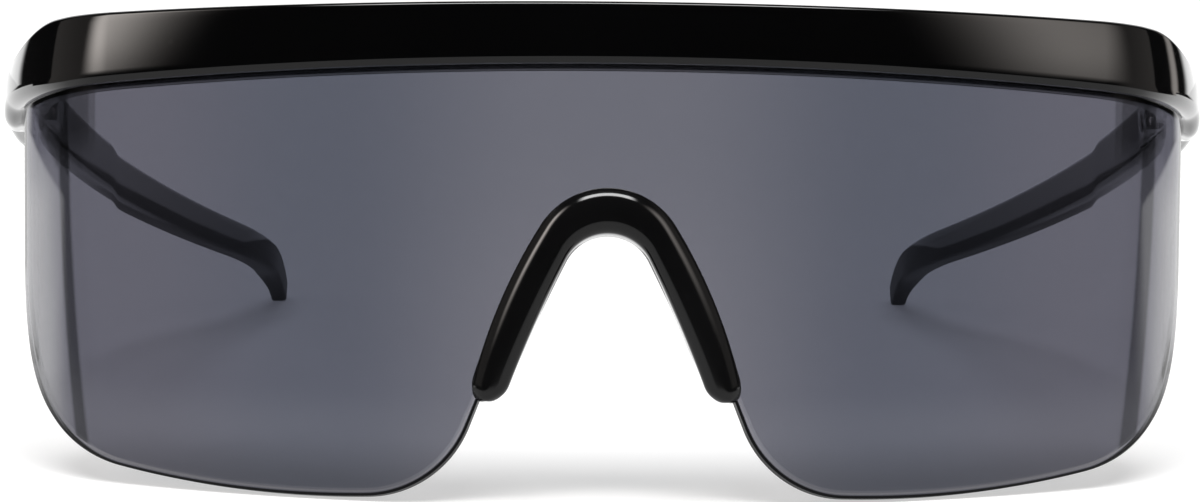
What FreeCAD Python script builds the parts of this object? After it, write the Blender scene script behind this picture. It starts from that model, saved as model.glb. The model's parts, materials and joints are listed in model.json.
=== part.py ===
import FreeCAD, Part

import math
import os

from FreeCAD import Vector

# Shield sunglasses: one wrapped lens hung from a brow bar, a clip-on nose bridge and two folding temples.
# Lengths are in millimetres and angles in degrees.
# Each piece is drawn as the glasses are worn: +X to the wearer's left, +Y to the back, +Z up.
# There the brow bar is level, and the zero point is the front of the lens at the bar's lower edge.
# At the end everything is tipped back until the lens and both temple tips stand on Z = 0.

# Shield lens
lens_thickness = 2.0
lens_front_radius = 162.0
lens_corner_radius = 23.0
lens_corner_start_angle = 21.4
lens_end_angle = 70.0
lens_tilt = 13.0
lens_drop = 50.1
lens_groove_depth = 3.0
lens_edge_bevel = 0.25

# Lower edge of the lens, seen from the front
lobe_middle_x = 28.2
lobe_inner_radius = 12.9
lobe_bottom_radius = 110.0
lobe_outer_radius = 17.0
lobe_outer_turn = 47.0
notch_leg_angle = 20.5

# Rear lower corner of the lens, measured along its bend
rear_corner_start_angle = 42.0
rear_corner_radius = 30.0
rear_corner_end_turn = 70.0

# Brow bar
brow_height = 7.3
brow_rise = 1.25
brow_rise_limit_share = 1.08
brow_shoulder_drop = 2.35
brow_shoulder_start_angle = 40.0
brow_shoulder_end_angle = 64.0
brow_front_lip = 1.4
brow_rear_lip = 1.3
brow_corner_radius = 26.2
brow_end_trim = 1.86
brow_top_round = 0.6
brow_lower_bevel = 0.6

# Nose bridge, measured down along the lens from the brow bar
nose_outer_radius = 9.3
nose_outer_drop = 14.3
nose_outer_shoulder_angle = 32.0
nose_outer_leg_radius = 63.0
nose_inner_radius = 5.4
nose_inner_drop = 19.6
nose_inner_shoulder_angle = 27.0
nose_inner_leg_radius = 150.0
nose_leg_drop = 39.2
nose_lip_overlap = 1.1
nose_core_gap = 0.2
nose_lip_thickness = 1.0
nose_foot_round = 1.5
nose_pad_depth = 6.0
nose_pad_flare = 1.6
nose_inner_round = 2.2
nose_outer_round = 0.7

# Temples
temple_thickness = 4.0
temple_overhang = 0.14
temple_bow_radius = 300.0
temple_bow_turn = 18.6
temple_return_radius = 62.0
temple_root_top = 6.4
temple_root_bottom = -1.3
temple_hook_top = 4.9
temple_hook_bottom = 0.1
temple_hook_radius = 40.0
temple_hook_turn = 20.0
temple_edge_round = 1.1
temple_root_round = 0.4

# Hinges
hinge_gap = 0.3
hinge_seat_wall = 3.66
hinge_seat_length = 5.7
hinge_height = 5.0
leaf_thickness = 0.8
leaf_end_margin = 0.2
leaf_swing_gap = 0.12
leaf_tongue_stop = 0.25
temple_leaf_length = 8.4
temple_recess_margin = 0.15
barrel_count = 3
barrel_radius = 1.3
barrel_inset = 0.7
barrel_end_gap = 0.06
screw_radius = 0.7
screw_running_gap = 0.03
screw_head_radius = 1.0
screw_head_height = 0.55
screw_slot_width = 0.35
screw_slot_depth = 0.25
rivet_radius = 0.55
rivet_reach = 2.2
rivet_head_radius = 0.9
rivet_head_height = 0.35
rivet_head_round = 0.2
front_rivet_spacing = 2.5
temple_rivet_spacing = 3.8

# Shared allowances
groove_side_gap = 0.04
cut_overrun = 6.0

# How finely the brow bar's top, each stretch of the lens's lower edge and the standing points are followed
brow_top_steps = 80
lower_edge_steps = 12
standing_samples = 60
standing_rounds = 12

X_AXIS = Vector(1, 0, 0)
Y_AXIS = Vector(0, 1, 0)
Z_AXIS = Vector(0, 0, 1)
ZERO = Vector(0, 0, 0)

corner_start = math.radians(lens_corner_start_angle)
lens_end = math.radians(lens_end_angle)
eighth_turn = math.radians(45)
quarter_turn = math.radians(90)

# Down along the lens
tilt = math.radians(lens_tilt)
lens_down = Vector(0, math.sin(tilt), -math.cos(tilt))


def plan_point(angle, offset, corner_radius):
    """A point of the front's plan curve, or of a curve outside it by the offset.

    The angle is that of the curve's outward normal, positive to the wearer's left.
    """
    side = -1 if angle < 0 else 1
    turn = abs(angle)
    front_radius = lens_front_radius + offset
    if turn <= corner_start:
        back = lens_front_radius - front_radius * math.cos(turn)
        return Vector(side * front_radius * math.sin(turn), back, 0)
    reach = front_radius - corner_radius
    across = reach * math.sin(corner_start) + corner_radius * math.sin(turn)
    back = lens_front_radius - reach * math.cos(corner_start) - corner_radius * math.cos(turn)
    return Vector(side * across, back, 0)


# Where the brow bar's outer face points straight sideways, and what is set out from there
brow_side = plan_point(quarter_turn, brow_front_lip, brow_corner_radius)
brow_end_depth = brow_side.y - brow_end_trim
hinge_seat_x = brow_side.x - hinge_seat_wall
hinge_seat_start_depth = brow_end_depth - hinge_seat_length
temple_outer_x = brow_side.x + temple_overhang

half_span = temple_outer_x + cut_overrun
notch_radius = nose_outer_radius - nose_lip_overlap
notch_top_drop = nose_outer_drop + nose_lip_overlap
temple_root_depth = brow_end_depth + hinge_gap
temple_hook_depth = temple_root_depth + (temple_bow_radius + temple_return_radius) * math.sin(
    math.radians(temple_bow_turn))
hinge_axis = Vector(hinge_seat_x - leaf_thickness - barrel_inset,
                    brow_end_depth + hinge_gap / 2,
                    (temple_root_top + temple_root_bottom) / 2)
hinge_low = hinge_axis.z - hinge_height / 2
hinge_high = hinge_axis.z + hinge_height / 2
barrel_height = hinge_height / barrel_count
leaf_swing = math.sqrt((barrel_radius + leaf_swing_gap) ** 2 - barrel_inset ** 2)


def mirrored(shape):
    """The same piece on the wearer's right."""
    return shape.mirror(ZERO, X_AXIS)


def box_between(low, high):
    size = high - low
    return Part.makeBox(size.x, size.y, size.z, low)


def arc_through(first, middle, last):
    return Part.Arc(first, middle, last).toShape()


def lines_along(points):
    return [Part.makeLine(first, last) for first, last in zip(points, points[1:])]


def closed_face(edges):
    return Part.Face(Part.Wire(Part.__sortEdges__(edges)))


def edge_middle(edge):
    return edge.valueAt((edge.FirstParameter + edge.LastParameter) / 2)


def edge_direction(edge):
    return edge.tangentAt((edge.FirstParameter + edge.LastParameter) / 2)


def across_prism(edges):
    """A side outline carried from one side of the glasses to the other."""
    face = closed_face(edges)
    face.translate(X_AXIS * -half_span)
    return face.extrude(X_AXIS * (2 * half_span))


def through_prism(edges):
    """An outline drawn on the lens plane, carried level through the lens to both sides."""
    reach = 2 * brow_end_depth
    face = closed_face(edges)
    face.translate(Y_AXIS * -reach)
    return face.extrude(Y_AXIS * (2 * reach))


def plan_length(turn):
    """Length along the lens's front from its middle to a plan angle."""
    if turn <= corner_start:
        return turn * lens_front_radius
    return corner_start * lens_front_radius + (turn - corner_start) * lens_corner_radius


def plan_turn(length):
    """Plan angle at a length along the lens's front, the other way round."""
    front_length = corner_start * lens_front_radius
    if length <= front_length:
        return length / lens_front_radius
    return corner_start + (length - front_length) / lens_corner_radius


def plan_turn_across(across):
    """Plan angle at a distance to one side of the lens's middle, seen from the front."""
    if across <= lens_front_radius * math.sin(corner_start):
        return math.asin(across / lens_front_radius)
    corner_middle = (lens_front_radius - lens_corner_radius) * math.sin(corner_start)
    return math.asin((across - corner_middle) / lens_corner_radius)


def smooth_line(points, places):
    """A smooth line through points, each at its place along the line."""
    line = Part.BSplineCurve()
    line.interpolate(Points=points, Parameters=places)
    return line.toShape()


def spread_evenly(first, last, steps):
    return [first + (last - first) * step / steps for step in range(steps + 1)]


def plan_curve(offset, corner_radius, end_angle):
    """The front arc with a corner arc at each side."""
    stops = [-end_angle, -corner_start, corner_start, end_angle]
    edges = []
    for first, last in zip(stops, stops[1:]):
        angles = (first, (first + last) / 2, last)
        edges.append(arc_through(*[plan_point(angle, offset, corner_radius) for angle in angles]))
    return edges


def plan_band(outer_offset, outer_corner, inner_offset, inner_corner, end_angle):
    """The plan face between two such curves."""
    edges = plan_curve(outer_offset, outer_corner, end_angle)
    edges += plan_curve(inner_offset, inner_corner, end_angle)
    for angle in (-end_angle, end_angle):
        edges.append(Part.makeLine(plan_point(angle, outer_offset, outer_corner),
                                   plan_point(angle, inner_offset, inner_corner)))
    return closed_face(edges)


def lens_shell(outer_offset, inner_offset, top_drop, bottom_drop, end_angle):
    """A shell that follows the lens, between two drops along it."""
    band = plan_band(outer_offset, lens_corner_radius + outer_offset,
                     inner_offset, lens_corner_radius + inner_offset, end_angle)
    band.translate(lens_down * top_drop)
    return band.extrude(lens_down * (bottom_drop - top_drop))


def on_lens(across, drop):
    """A point of a front outline: across, and down along the lens at its middle."""
    return X_AXIS * across + lens_down * drop


def lower_arc(start, radius, first_turn, last_turn):
    """Places of a round stretch of the lens's lower edge, whose rise turns from one angle to the other."""
    return [(start[0] + radius * (math.sin(turn) - math.sin(first_turn)),
             start[1] - radius * (math.cos(first_turn) - math.cos(turn)))
            for turn in spread_evenly(first_turn, last_turn, lower_edge_steps)]


def notch_stretches():
    """Places across and down of the notch's round top, its straight leg and a lobe's inner side."""
    leg_turn = math.radians(notch_leg_angle) - quarter_turn
    top = lower_arc((0, notch_top_drop), -notch_radius, 0, leg_turn)
    lobe_start = (lobe_middle_x + lobe_inner_radius * math.sin(leg_turn),
                  lens_drop - lobe_inner_radius * (1 - math.cos(leg_turn)))
    leg = list(zip(spread_evenly(top[-1][0], lobe_start[0], lower_edge_steps),
                   spread_evenly(top[-1][1], lobe_start[1], lower_edge_steps)))
    return top, leg, lower_arc(lobe_start, lobe_inner_radius, leg_turn, 0)


def front_lower_edge():
    """Places across and down of the notch, a lobe and its outer rise, seen from the front."""
    top, leg, lobe = notch_stretches()
    outer_turn = math.radians(lobe_outer_turn)
    outer_x = plan_point(math.radians(rear_corner_start_angle), 0, lens_corner_radius).x
    bottom_run = outer_x - lobe_middle_x - lobe_outer_radius * math.sin(outer_turn)
    bottom_turn = math.asin(bottom_run / (lobe_bottom_radius - lobe_outer_radius))
    bottom = lower_arc(lobe[-1], lobe_bottom_radius, 0, bottom_turn)
    outer = lower_arc(bottom[-1], lobe_outer_radius, bottom_turn, outer_turn)
    return top + leg[1:] + lobe[1:] + bottom[1:] + outer[1:]


def lens_lower_edge():
    """Places along and down the lens of one half of its lower edge, past the rear end."""
    places = [(plan_length(plan_turn_across(across)), drop) for across, drop in front_lower_edge()]
    bend = math.radians(rear_corner_start_angle)
    first_turn = math.atan(math.tan(math.radians(lobe_outer_turn)) * math.cos(bend))
    last_turn = math.radians(rear_corner_end_turn)
    places += lower_arc(places[-1], rear_corner_radius, first_turn, last_turn)[1:]
    run_on = plan_length(lens_end) + lens_thickness - places[-1][0]
    return places + [(places[-1][0] + run_on, places[-1][1] - run_on * math.tan(last_turn))]


def below_lens():
    """All that lies below the lens's lower edge, with the notch, square to the lens."""
    half = lens_lower_edge()
    edge = [(-length, drop) for length, drop in reversed(half[1:])] + half
    steps = [math.dist(first, last) for first, last in zip(edge, edge[1:])]
    places = [sum(steps[:order]) for order in range(len(edge))]
    lines = []
    for offset in (lens_thickness, -2 * lens_thickness):
        points = []
        for length, drop in edge:
            angle = math.copysign(plan_turn(abs(length)), length)
            points.append(plan_point(angle, offset, lens_corner_radius + offset) + lens_down * drop)
        lines.append(smooth_line(points, places))
    return Part.makeRuledSurface(*lines).extrude(lens_down * (lens_drop + cut_overrun))


def shield_lens():
    shell = lens_shell(0, -lens_thickness, -lens_groove_depth, lens_drop + cut_overrun, lens_end)
    lens = shell.cut(below_lens()).Solids[0]
    return lens.makeChamfer(lens_edge_bevel, [edge for edge in lens.Edges if is_lens_free_edge(edge)])


def is_lens_free_edge(edge):
    """Whether an edge runs round the front or the back of the lens, outside the groove."""
    middle = edge_middle(edge)
    if middle.z > lens_groove_depth * math.cos(tilt) - groove_side_gap:
        return False
    straight = edge.Curve.TypeId == "Part::GeomLine"
    at_end = abs(middle.x) > plan_point(eighth_turn, 0, lens_corner_radius).x
    return edge.Length > 2 * lens_thickness and (at_end or not straight)


def brow_top_height(angle):
    """Height of the bar's top: it rises outward, then steps down to meet the temples."""
    turn = abs(angle)
    share = plan_point(turn, 0, lens_corner_radius).x / plan_point(corner_start, 0, lens_corner_radius).x
    rise = brow_rise * min(share, brow_rise_limit_share) ** 2
    step_start = math.radians(brow_shoulder_start_angle)
    step_end = math.radians(brow_shoulder_end_angle)
    step = min(max((turn - step_start) / (step_end - step_start), 0), 1)
    return brow_height + rise - brow_shoulder_drop * step * step * (3 - 2 * step)


def brow_top_line(offset, corner_radius):
    """The top's height carried along a plan curve, past both ends."""
    half_length = plan_length(quarter_turn)
    lengths = spread_evenly(-half_length, half_length, brow_top_steps)
    angles = [math.copysign(plan_turn(abs(length)), length) for length in lengths]
    points = [plan_point(angle, offset, corner_radius) + Z_AXIS * brow_top_height(angle) for angle in angles]
    return smooth_line(points, lengths)


def brow_bar():
    inner_offset = -lens_thickness - brow_rear_lip
    inner_corner = lens_corner_radius + inner_offset
    band = plan_band(brow_front_lip, brow_corner_radius, inner_offset, inner_corner, quarter_turn)
    bar = band.extrude(Z_AXIS * (brow_height + cut_overrun))
    outer_line = brow_top_line(brow_front_lip + cut_overrun, brow_corner_radius + cut_overrun)
    inner_line = brow_top_line(inner_offset - cut_overrun, inner_corner - cut_overrun)
    above = Part.makeRuledSurface(outer_line, inner_line)
    bar = bar.cut(above.extrude(Z_AXIS * (2 * cut_overrun)))
    far = Vector(half_span, brow_end_depth + 2 * cut_overrun, brow_height + 2 * cut_overrun)
    bar = bar.cut(box_between(Vector(-half_span, brow_end_depth, -cut_overrun), far)).Solids[0]
    bar = bar.makeChamfer(brow_lower_bevel, [edge for edge in bar.Edges if is_brow_lower_front(edge)])
    bar = bar.makeFillet(brow_top_round, [edge for edge in bar.Edges if is_brow_top(edge)])
    seats = box_between(Vector(-hinge_seat_x, hinge_seat_start_depth, -cut_overrun),
                        Vector(hinge_seat_x, far.y, far.z))
    groove = lens_shell(groove_side_gap, -lens_thickness - groove_side_gap, -lens_groove_depth,
                        lens_groove_depth, lens_end + groove_side_gap / lens_corner_radius)
    return bar.cut([seats, groove])


def is_brow_lower_front(edge):
    middle = edge_middle(edge)
    front_of_corner = plan_point(eighth_turn, 0, lens_corner_radius).x
    long_enough = edge.Length > lens_corner_radius
    return middle.z < groove_side_gap and long_enough and (middle.y < 0 or abs(middle.x) > front_of_corner)


def is_brow_top(edge):
    upright = abs(edge_direction(edge).z) > math.cos(eighth_turn)
    return edge_middle(edge).z > brow_height / 2 and not upright


def nose_arch(radius, top_drop, shoulder_angle, leg_radius, bottom_drop):
    """An arch outline with a round top and legs that curve from a shoulder down, closed below."""
    first = math.radians(shoulder_angle)
    shoulder = (radius * math.cos(first), top_drop + radius * (1 - math.sin(first)))
    last = math.asin(math.sin(first) - (bottom_drop - shoulder[1]) / leg_radius)

    def leg_place(side, turn):
        return on_lens(side * (shoulder[0] + leg_radius * (math.cos(turn) - math.cos(first))),
                       shoulder[1] + leg_radius * (math.sin(first) - math.sin(turn)))

    edges = [arc_through(leg_place(-1, first), on_lens(0, top_drop), leg_place(1, first))]
    for side in (1, -1):
        edges.append(arc_through(*[leg_place(side, turn) for turn in (first, (first + last) / 2, last)]))
    return edges + lines_along([leg_place(1, last), leg_place(-1, last)])


def nose_inner_arch(spread, bottom_drop):
    """The space for the nose, widened by the spread."""
    return nose_arch(nose_inner_radius + spread, nose_inner_drop - spread, nose_inner_shoulder_angle,
                     nose_inner_leg_radius + spread, bottom_drop)


def nose_opening():
    """The space for the nose, which widens towards the face."""
    front = nose_lip_thickness + cut_overrun
    flare_end = lens_thickness + nose_pad_depth
    wires = []
    places = (front, -lens_thickness, -flare_end, -flare_end - cut_overrun)
    for place, spread in zip(places, (0, 0, nose_pad_flare, nose_pad_flare)):
        wire = Part.Wire(Part.__sortEdges__(nose_inner_arch(spread, nose_leg_drop + cut_overrun)))
        wire.translate(Y_AXIS * -place)
        wires.append(wire)
    return Part.makeLoft(wires, True, True)


def rounded_feet(prism):
    """The same arch with the lower ends of both legs rounded."""
    feet = []
    for edge in prism.Edges:
        along_view = abs(edge_direction(edge).y) > math.cos(eighth_turn)
        if along_view and at_foot(edge):
            feet.append(edge)
    return prism.makeFillet(nose_foot_round, feet)


def at_foot(edge):
    return abs(edge_middle(edge).z + nose_leg_drop * math.cos(tilt)) < groove_side_gap


def nose_core():
    """What of the bridge passes through the lens's notch, a little clear of its edge."""
    leg = notch_stretches()[1]
    corners = []
    for side, places in ((-1, (leg[0], leg[-1])), (1, (leg[-1], leg[0]))):
        corners += [on_lens(side * (across - nose_core_gap), drop) for across, drop in places]
    top = arc_through(corners[0], on_lens(0, notch_top_drop + nose_core_gap), corners[-1])
    return through_prism([top] + lines_along(corners))


def nose_bridge():
    opening = nose_opening()
    lip = through_prism(nose_arch(nose_outer_radius, nose_outer_drop, nose_outer_shoulder_angle,
                                  nose_outer_leg_radius, nose_leg_drop))
    core = nose_core().common(lip)
    span = (0, lens_drop, lens_end)
    front_lip = lip.common(lens_shell(nose_lip_thickness, 0, *span))
    rear_lip = lip.common(lens_shell(-lens_thickness, -lens_thickness - nose_lip_thickness, *span))
    pads = core.common(lens_shell(0, -lens_thickness - nose_pad_depth, *span))
    bridge = front_lip.fuse([rear_lip, pads]).cut(opening).removeSplitter().Solids[0]
    for inner, round_radius in ((True, nose_inner_round), (False, nose_outer_round)):
        rim = [edge for edge in bridge.Edges if is_nose_front(edge, inner)]
        bridge = bridge.makeFillet(round_radius, rim)
    feet = rounded_feet(lip.cut(through_prism(nose_inner_arch(0, nose_leg_drop + cut_overrun))))
    one_side = box_between(Vector(-half_span, -half_span, -half_span), Vector(0, half_span, half_span))
    half = bridge.common(feet).common(one_side).removeSplitter().Solids[0]
    return half.fuse(mirrored(half)).removeSplitter().Solids[0]


def lens_offset(point):
    """How far a point lies in front of the lens's front arc."""
    level = point + lens_down * (point.z / math.cos(tilt))
    return math.hypot(level.x, level.y - lens_front_radius) - lens_front_radius


def is_nose_front(edge, inner):
    """Whether an edge bounds the bridge's front face, on its inner or its outer side, above the feet."""
    middle = edge_middle(edge)
    in_front = abs(lens_offset(middle) - nose_lip_thickness) < groove_side_gap
    half_way = notch_top_drop + notch_radius
    drop = -middle.z / math.cos(tilt)
    reach = math.hypot(middle.x, min(drop - half_way, 0))
    leg_run = max(drop - half_way, 0) * math.tan(math.radians(notch_leg_angle))
    return in_front and not at_foot(edge) and (reach < notch_radius + leg_run) == inner


def temple_plan_point(turn, inset):
    """A point of the temple's first plan bend, inset from its outer face."""
    radius = temple_bow_radius - inset
    return Vector(temple_outer_x - temple_bow_radius + radius * math.cos(turn),
                  temple_root_depth + radius * math.sin(turn), 0)


def temple_return_point(turn, inset):
    """A point of the second plan bend, which turns the tip straight back again."""
    bow_turn = math.radians(temple_bow_turn)
    reach = temple_bow_radius + temple_return_radius
    radius = temple_return_radius + inset
    return Vector(temple_outer_x - temple_bow_radius + reach * math.cos(bow_turn) - radius * math.cos(turn),
                  temple_root_depth + reach * math.sin(bow_turn) - radius * math.sin(turn), 0)


def temple_plan():
    bow_turn = math.radians(temple_bow_turn)
    far_y = temple_hook_depth + temple_hook_radius
    edges = []
    ends = []
    for inset in (0, temple_thickness):
        edges.append(arc_through(*[temple_plan_point(turn, inset) for turn in (0, bow_turn / 2, bow_turn)]))
        edges.append(arc_through(*[temple_return_point(turn, inset) for turn in (bow_turn, bow_turn / 2, 0)]))
        last = temple_return_point(0, inset)
        ends.append(Vector(last.x, far_y, 0))
        edges.append(Part.makeLine(last, ends[-1]))
    edges.append(Part.makeLine(*ends))
    edges.append(Part.makeLine(temple_plan_point(0, 0), temple_plan_point(0, temple_thickness)))
    return closed_face(edges)


def temple_side():
    """Side outline: a straight taper, then a short hook with a round end."""
    length = temple_hook_depth - temple_root_depth
    half_tip = (temple_hook_top - temple_hook_bottom) / 2
    hook_turn = math.radians(temple_hook_turn)
    rows = []
    for level, root, radius in ((temple_hook_top, temple_root_top, temple_hook_radius + half_tip),
                                (temple_hook_bottom, temple_root_bottom, temple_hook_radius - half_tip)):
        first_turn = math.atan((root - level) / length)
        points = [Vector(0, temple_hook_depth + radius * (math.sin(turn) - math.sin(first_turn)),
                         level - radius * (math.cos(first_turn) - math.cos(turn)))
                  for turn in (first_turn, (first_turn + hook_turn) / 2, hook_turn)]
        rows.append((Vector(0, temple_root_depth, root), points))
    (top_root, top), (low_root, low) = rows
    reach = (top[2] - low[2]).Length / 2
    tip = (top[2] + low[2]) / 2 + Vector(0, math.cos(hook_turn), -math.sin(hook_turn)) * reach
    return [arc_through(*top), arc_through(*low), arc_through(top[2], tip, low[2])] + lines_along(
        [top[0], top_root, low_root, low[0]])


def temple_outer_face(depth):
    """How far out the temple's outer face lies at a depth."""
    bow_centre = temple_plan_point(0, temple_bow_radius)
    return_centre = temple_return_point(0, -temple_return_radius)
    if depth < temple_plan_point(math.radians(temple_bow_turn), 0).y:
        return bow_centre.x + math.sqrt(temple_bow_radius ** 2 - (depth - bow_centre.y) ** 2)
    if depth < temple_hook_depth:
        return return_centre.x - math.sqrt(temple_return_radius ** 2 - (return_centre.y - depth) ** 2)
    return return_centre.x - temple_return_radius


def is_temple_ring(edge, outer):
    """Whether an edge runs along the temple, round its tip and back, on its outer or its inner face."""
    middle = edge_middle(edge)
    crosswise = abs(edge_direction(edge).x) > math.cos(eighth_turn)
    upright = abs(edge_direction(edge).z) > math.cos(eighth_turn)
    before_tip = middle.y < temple_hook_depth + temple_thickness
    on_outer = middle.x > temple_outer_face(middle.y) - temple_thickness / 2
    return on_outer == outer and not crosswise and not (upright and before_tip)


def place_on_ring(edge):
    """Order along the ring: out to the tip below, then back above."""
    middle = edge_middle(edge)
    below = middle.z < (temple_hook_top + temple_hook_bottom) / 2
    far_y = temple_hook_depth + temple_hook_radius
    return middle.y if below else 2 * far_y - middle.y


def temple():
    tall = temple_root_top + temple_hook_radius
    plan = temple_plan()
    plan.translate(Z_AXIS * -tall)
    arm = plan.extrude(Z_AXIS * (2 * tall)).common(across_prism(temple_side())).Solids[0]
    for outer in (True, False):
        ring = [edge for edge in arm.Edges if is_temple_ring(edge, outer)]
        arm = arm.makeFillet(temple_edge_round, sorted(ring, key=place_on_ring))
    root = [edge for edge in arm.Edges if abs(edge_middle(edge).y - temple_root_depth) < groove_side_gap]
    arm = arm.makeFillet(temple_root_round, root)
    recess = box_between(
        Vector(0, temple_root_depth - cut_overrun, hinge_low - temple_recess_margin),
        Vector(hinge_seat_x, hinge_axis.y + leaf_swing + temple_leaf_length + temple_recess_margin,
               hinge_high + temple_recess_margin))
    holes = [rivet_shank(place) for place in temple_rivet_places()]
    return arm.cut(recess).cut(holes)


def barrel_span(order):
    """Bottom and top of one of the three hinge barrels, counted from below."""
    low = hinge_low + order * barrel_height
    high = low + barrel_height
    if order > 0:
        low += barrel_end_gap / 2
    if order < barrel_count - 1:
        high -= barrel_end_gap / 2
    return low, high


def leaf(plate_start, plate_end, tongue_end, orders, bore_radius, rivet_places):
    """A hinge leaf: a plate, a tongue to each of its barrels, and the barrels."""
    face_x = hinge_seat_x - leaf_thickness
    near, far = sorted((plate_start, plate_end))
    plate = box_between(Vector(face_x, near, hinge_low), Vector(hinge_seat_x, far, hinge_high))
    solids = []
    for order in orders:
        low, high = barrel_span(order)
        near, far = sorted((plate_end, tongue_end))
        solids.append(Part.makeCylinder(barrel_radius, high - low, Vector(hinge_axis.x, hinge_axis.y, low)))
        solids.append(box_between(Vector(face_x, near, low), Vector(hinge_seat_x, far, high)))
    bore = Part.makeCylinder(bore_radius, hinge_height + 2 * cut_overrun,
                             Vector(hinge_axis.x, hinge_axis.y, hinge_low - cut_overrun))
    holes = [rivet_shank(place) for place in rivet_places]
    return plate.fuse(solids).cut([bore] + holes).removeSplitter()


def front_leaf():
    body = leaf(hinge_seat_start_depth + leaf_end_margin, hinge_axis.y - leaf_swing,
                hinge_axis.y - leaf_tongue_stop, (0, 2), screw_radius, front_rivet_places())
    head_seat = Part.makeCylinder(screw_head_radius, screw_head_height + cut_overrun,
                                  Vector(hinge_axis.x, hinge_axis.y, hinge_high - screw_head_height))
    return body.cut(head_seat)


def temple_leaf():
    start = hinge_axis.y + leaf_swing
    return leaf(start + temple_leaf_length, start, hinge_axis.y + leaf_tongue_stop, (1,),
                screw_radius + screw_running_gap, temple_rivet_places())


def hinge_screw():
    foot = Vector(hinge_axis.x, hinge_axis.y, hinge_low)
    shank = Part.makeCylinder(screw_radius, hinge_height, foot)
    head = Part.makeCylinder(screw_head_radius, screw_head_height,
                             Vector(hinge_axis.x, hinge_axis.y, hinge_high - screw_head_height))
    slot_corner = Vector(cut_overrun, screw_slot_width / 2, 0)
    slot_middle = Vector(hinge_axis.x, hinge_axis.y, hinge_high)
    slot = box_between(slot_middle - slot_corner - Z_AXIS * screw_slot_depth,
                       slot_middle + slot_corner + Z_AXIS * cut_overrun)
    return shank.fuse(head).cut(slot).removeSplitter()


def front_rivet_places():
    middle_y = (hinge_seat_start_depth + leaf_end_margin + hinge_axis.y - leaf_swing) / 2
    middle = Vector(hinge_seat_x, middle_y, hinge_axis.z)
    return [middle + Z_AXIS * (side * front_rivet_spacing / 2) for side in (-1, 1)]


def temple_rivet_places():
    middle = Vector(hinge_seat_x, hinge_axis.y + leaf_swing + temple_leaf_length / 2, hinge_axis.z)
    return [middle + Y_AXIS * (side * temple_rivet_spacing / 2) for side in (-1, 1)]


def rivet_shank(place):
    start = place - X_AXIS * leaf_thickness
    return Part.makeCylinder(rivet_radius, leaf_thickness + rivet_reach, start, X_AXIS)


def rivets(places):
    """Flat-headed rivets through a leaf into the plastic behind it."""
    solids = []
    for place in places:
        face = place - X_AXIS * leaf_thickness
        head_top = face - X_AXIS * rivet_head_height
        head = Part.makeCylinder(rivet_head_radius, rivet_head_height, head_top, X_AXIS)
        rim = [edge for edge in head.Edges if edge.Length > rivet_head_radius
               and edge_middle(edge).x < face.x - rivet_head_height / 2]
        solids.append(head.makeFillet(rivet_head_round, rim).fuse(rivet_shank(place)).removeSplitter())
    return Part.makeCompound(solids)


def standing_pitch(lens, arm):
    """How far the glasses tip back, in radians, to stand on the lens and the temple tips."""
    def outline(shape):
        return [point for edge in shape.Edges for point in edge.discretize(standing_samples)]

    lens_points = outline(lens)
    arm_points = outline(arm)
    pitch = 0
    for _ in range(standing_rounds):
        def height(point):
            return point.z * math.cos(pitch) - point.y * math.sin(pitch)
        front = min(lens_points, key=height)
        back = min(arm_points, key=height)
        pitch = math.atan((back.z - front.z) / (back.y - front.y))
    return pitch


def build():
    lens = shield_lens()
    bar = brow_bar()
    front_holes = [rivet_shank(place) for place in front_rivet_places()]
    bar = bar.cut(front_holes + [mirrored(hole) for hole in front_holes])
    pieces = {"shield_lens": lens, "brow_bar": bar, "nose_bridge": nose_bridge()}
    handed = {
        "temple": temple(),
        "front_leaf": front_leaf(),
        "temple_leaf": temple_leaf(),
        "hinge_screw": hinge_screw(),
        "front_leaf_rivets": rivets(front_rivet_places()),
        "temple_leaf_rivets": rivets(temple_rivet_places()),
    }
    for name, shape in handed.items():
        pieces[name + "_left"] = shape
        pieces[name + "_right"] = mirrored(shape)
    return pieces


def main():
    os.makedirs("parts", exist_ok=True)
    pieces = build()
    pitch = standing_pitch(pieces["shield_lens"], pieces["temple_left"])
    for shape in pieces.values():
        shape.rotate(ZERO, X_AXIS, -math.degrees(pitch))
    bounds = Part.makeCompound(list(pieces.values())).optimalBoundingBox(False)
    shift = Vector(0, -(bounds.YMin + bounds.YMax) / 2, -bounds.ZMin)
    for name, shape in pieces.items():
        shape.translate(shift)
        shape.exportStep("parts/" + name + ".step")
        print(name, len(shape.Solids), "solids", round(shape.Volume, 2), "cubic mm", shape.isValid())
    turn = FreeCAD.Rotation(X_AXIS, -math.degrees(pitch))
    pivot = turn.multVec(hinge_axis) + shift
    print("pitch", math.degrees(pitch), "shift", shift)
    print("size", bounds.XLength, bounds.YLength, bounds.ZLength)
    print("left hinge", pivot, "axis", turn.multVec(Z_AXIS))


main()
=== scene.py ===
import json
import math

import bmesh
import bpy
from bpy.props import FloatProperty, FloatVectorProperty, IntProperty, PointerProperty
from mathutils import Matrix, Vector
from mathutils.kdtree import KDTree


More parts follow.
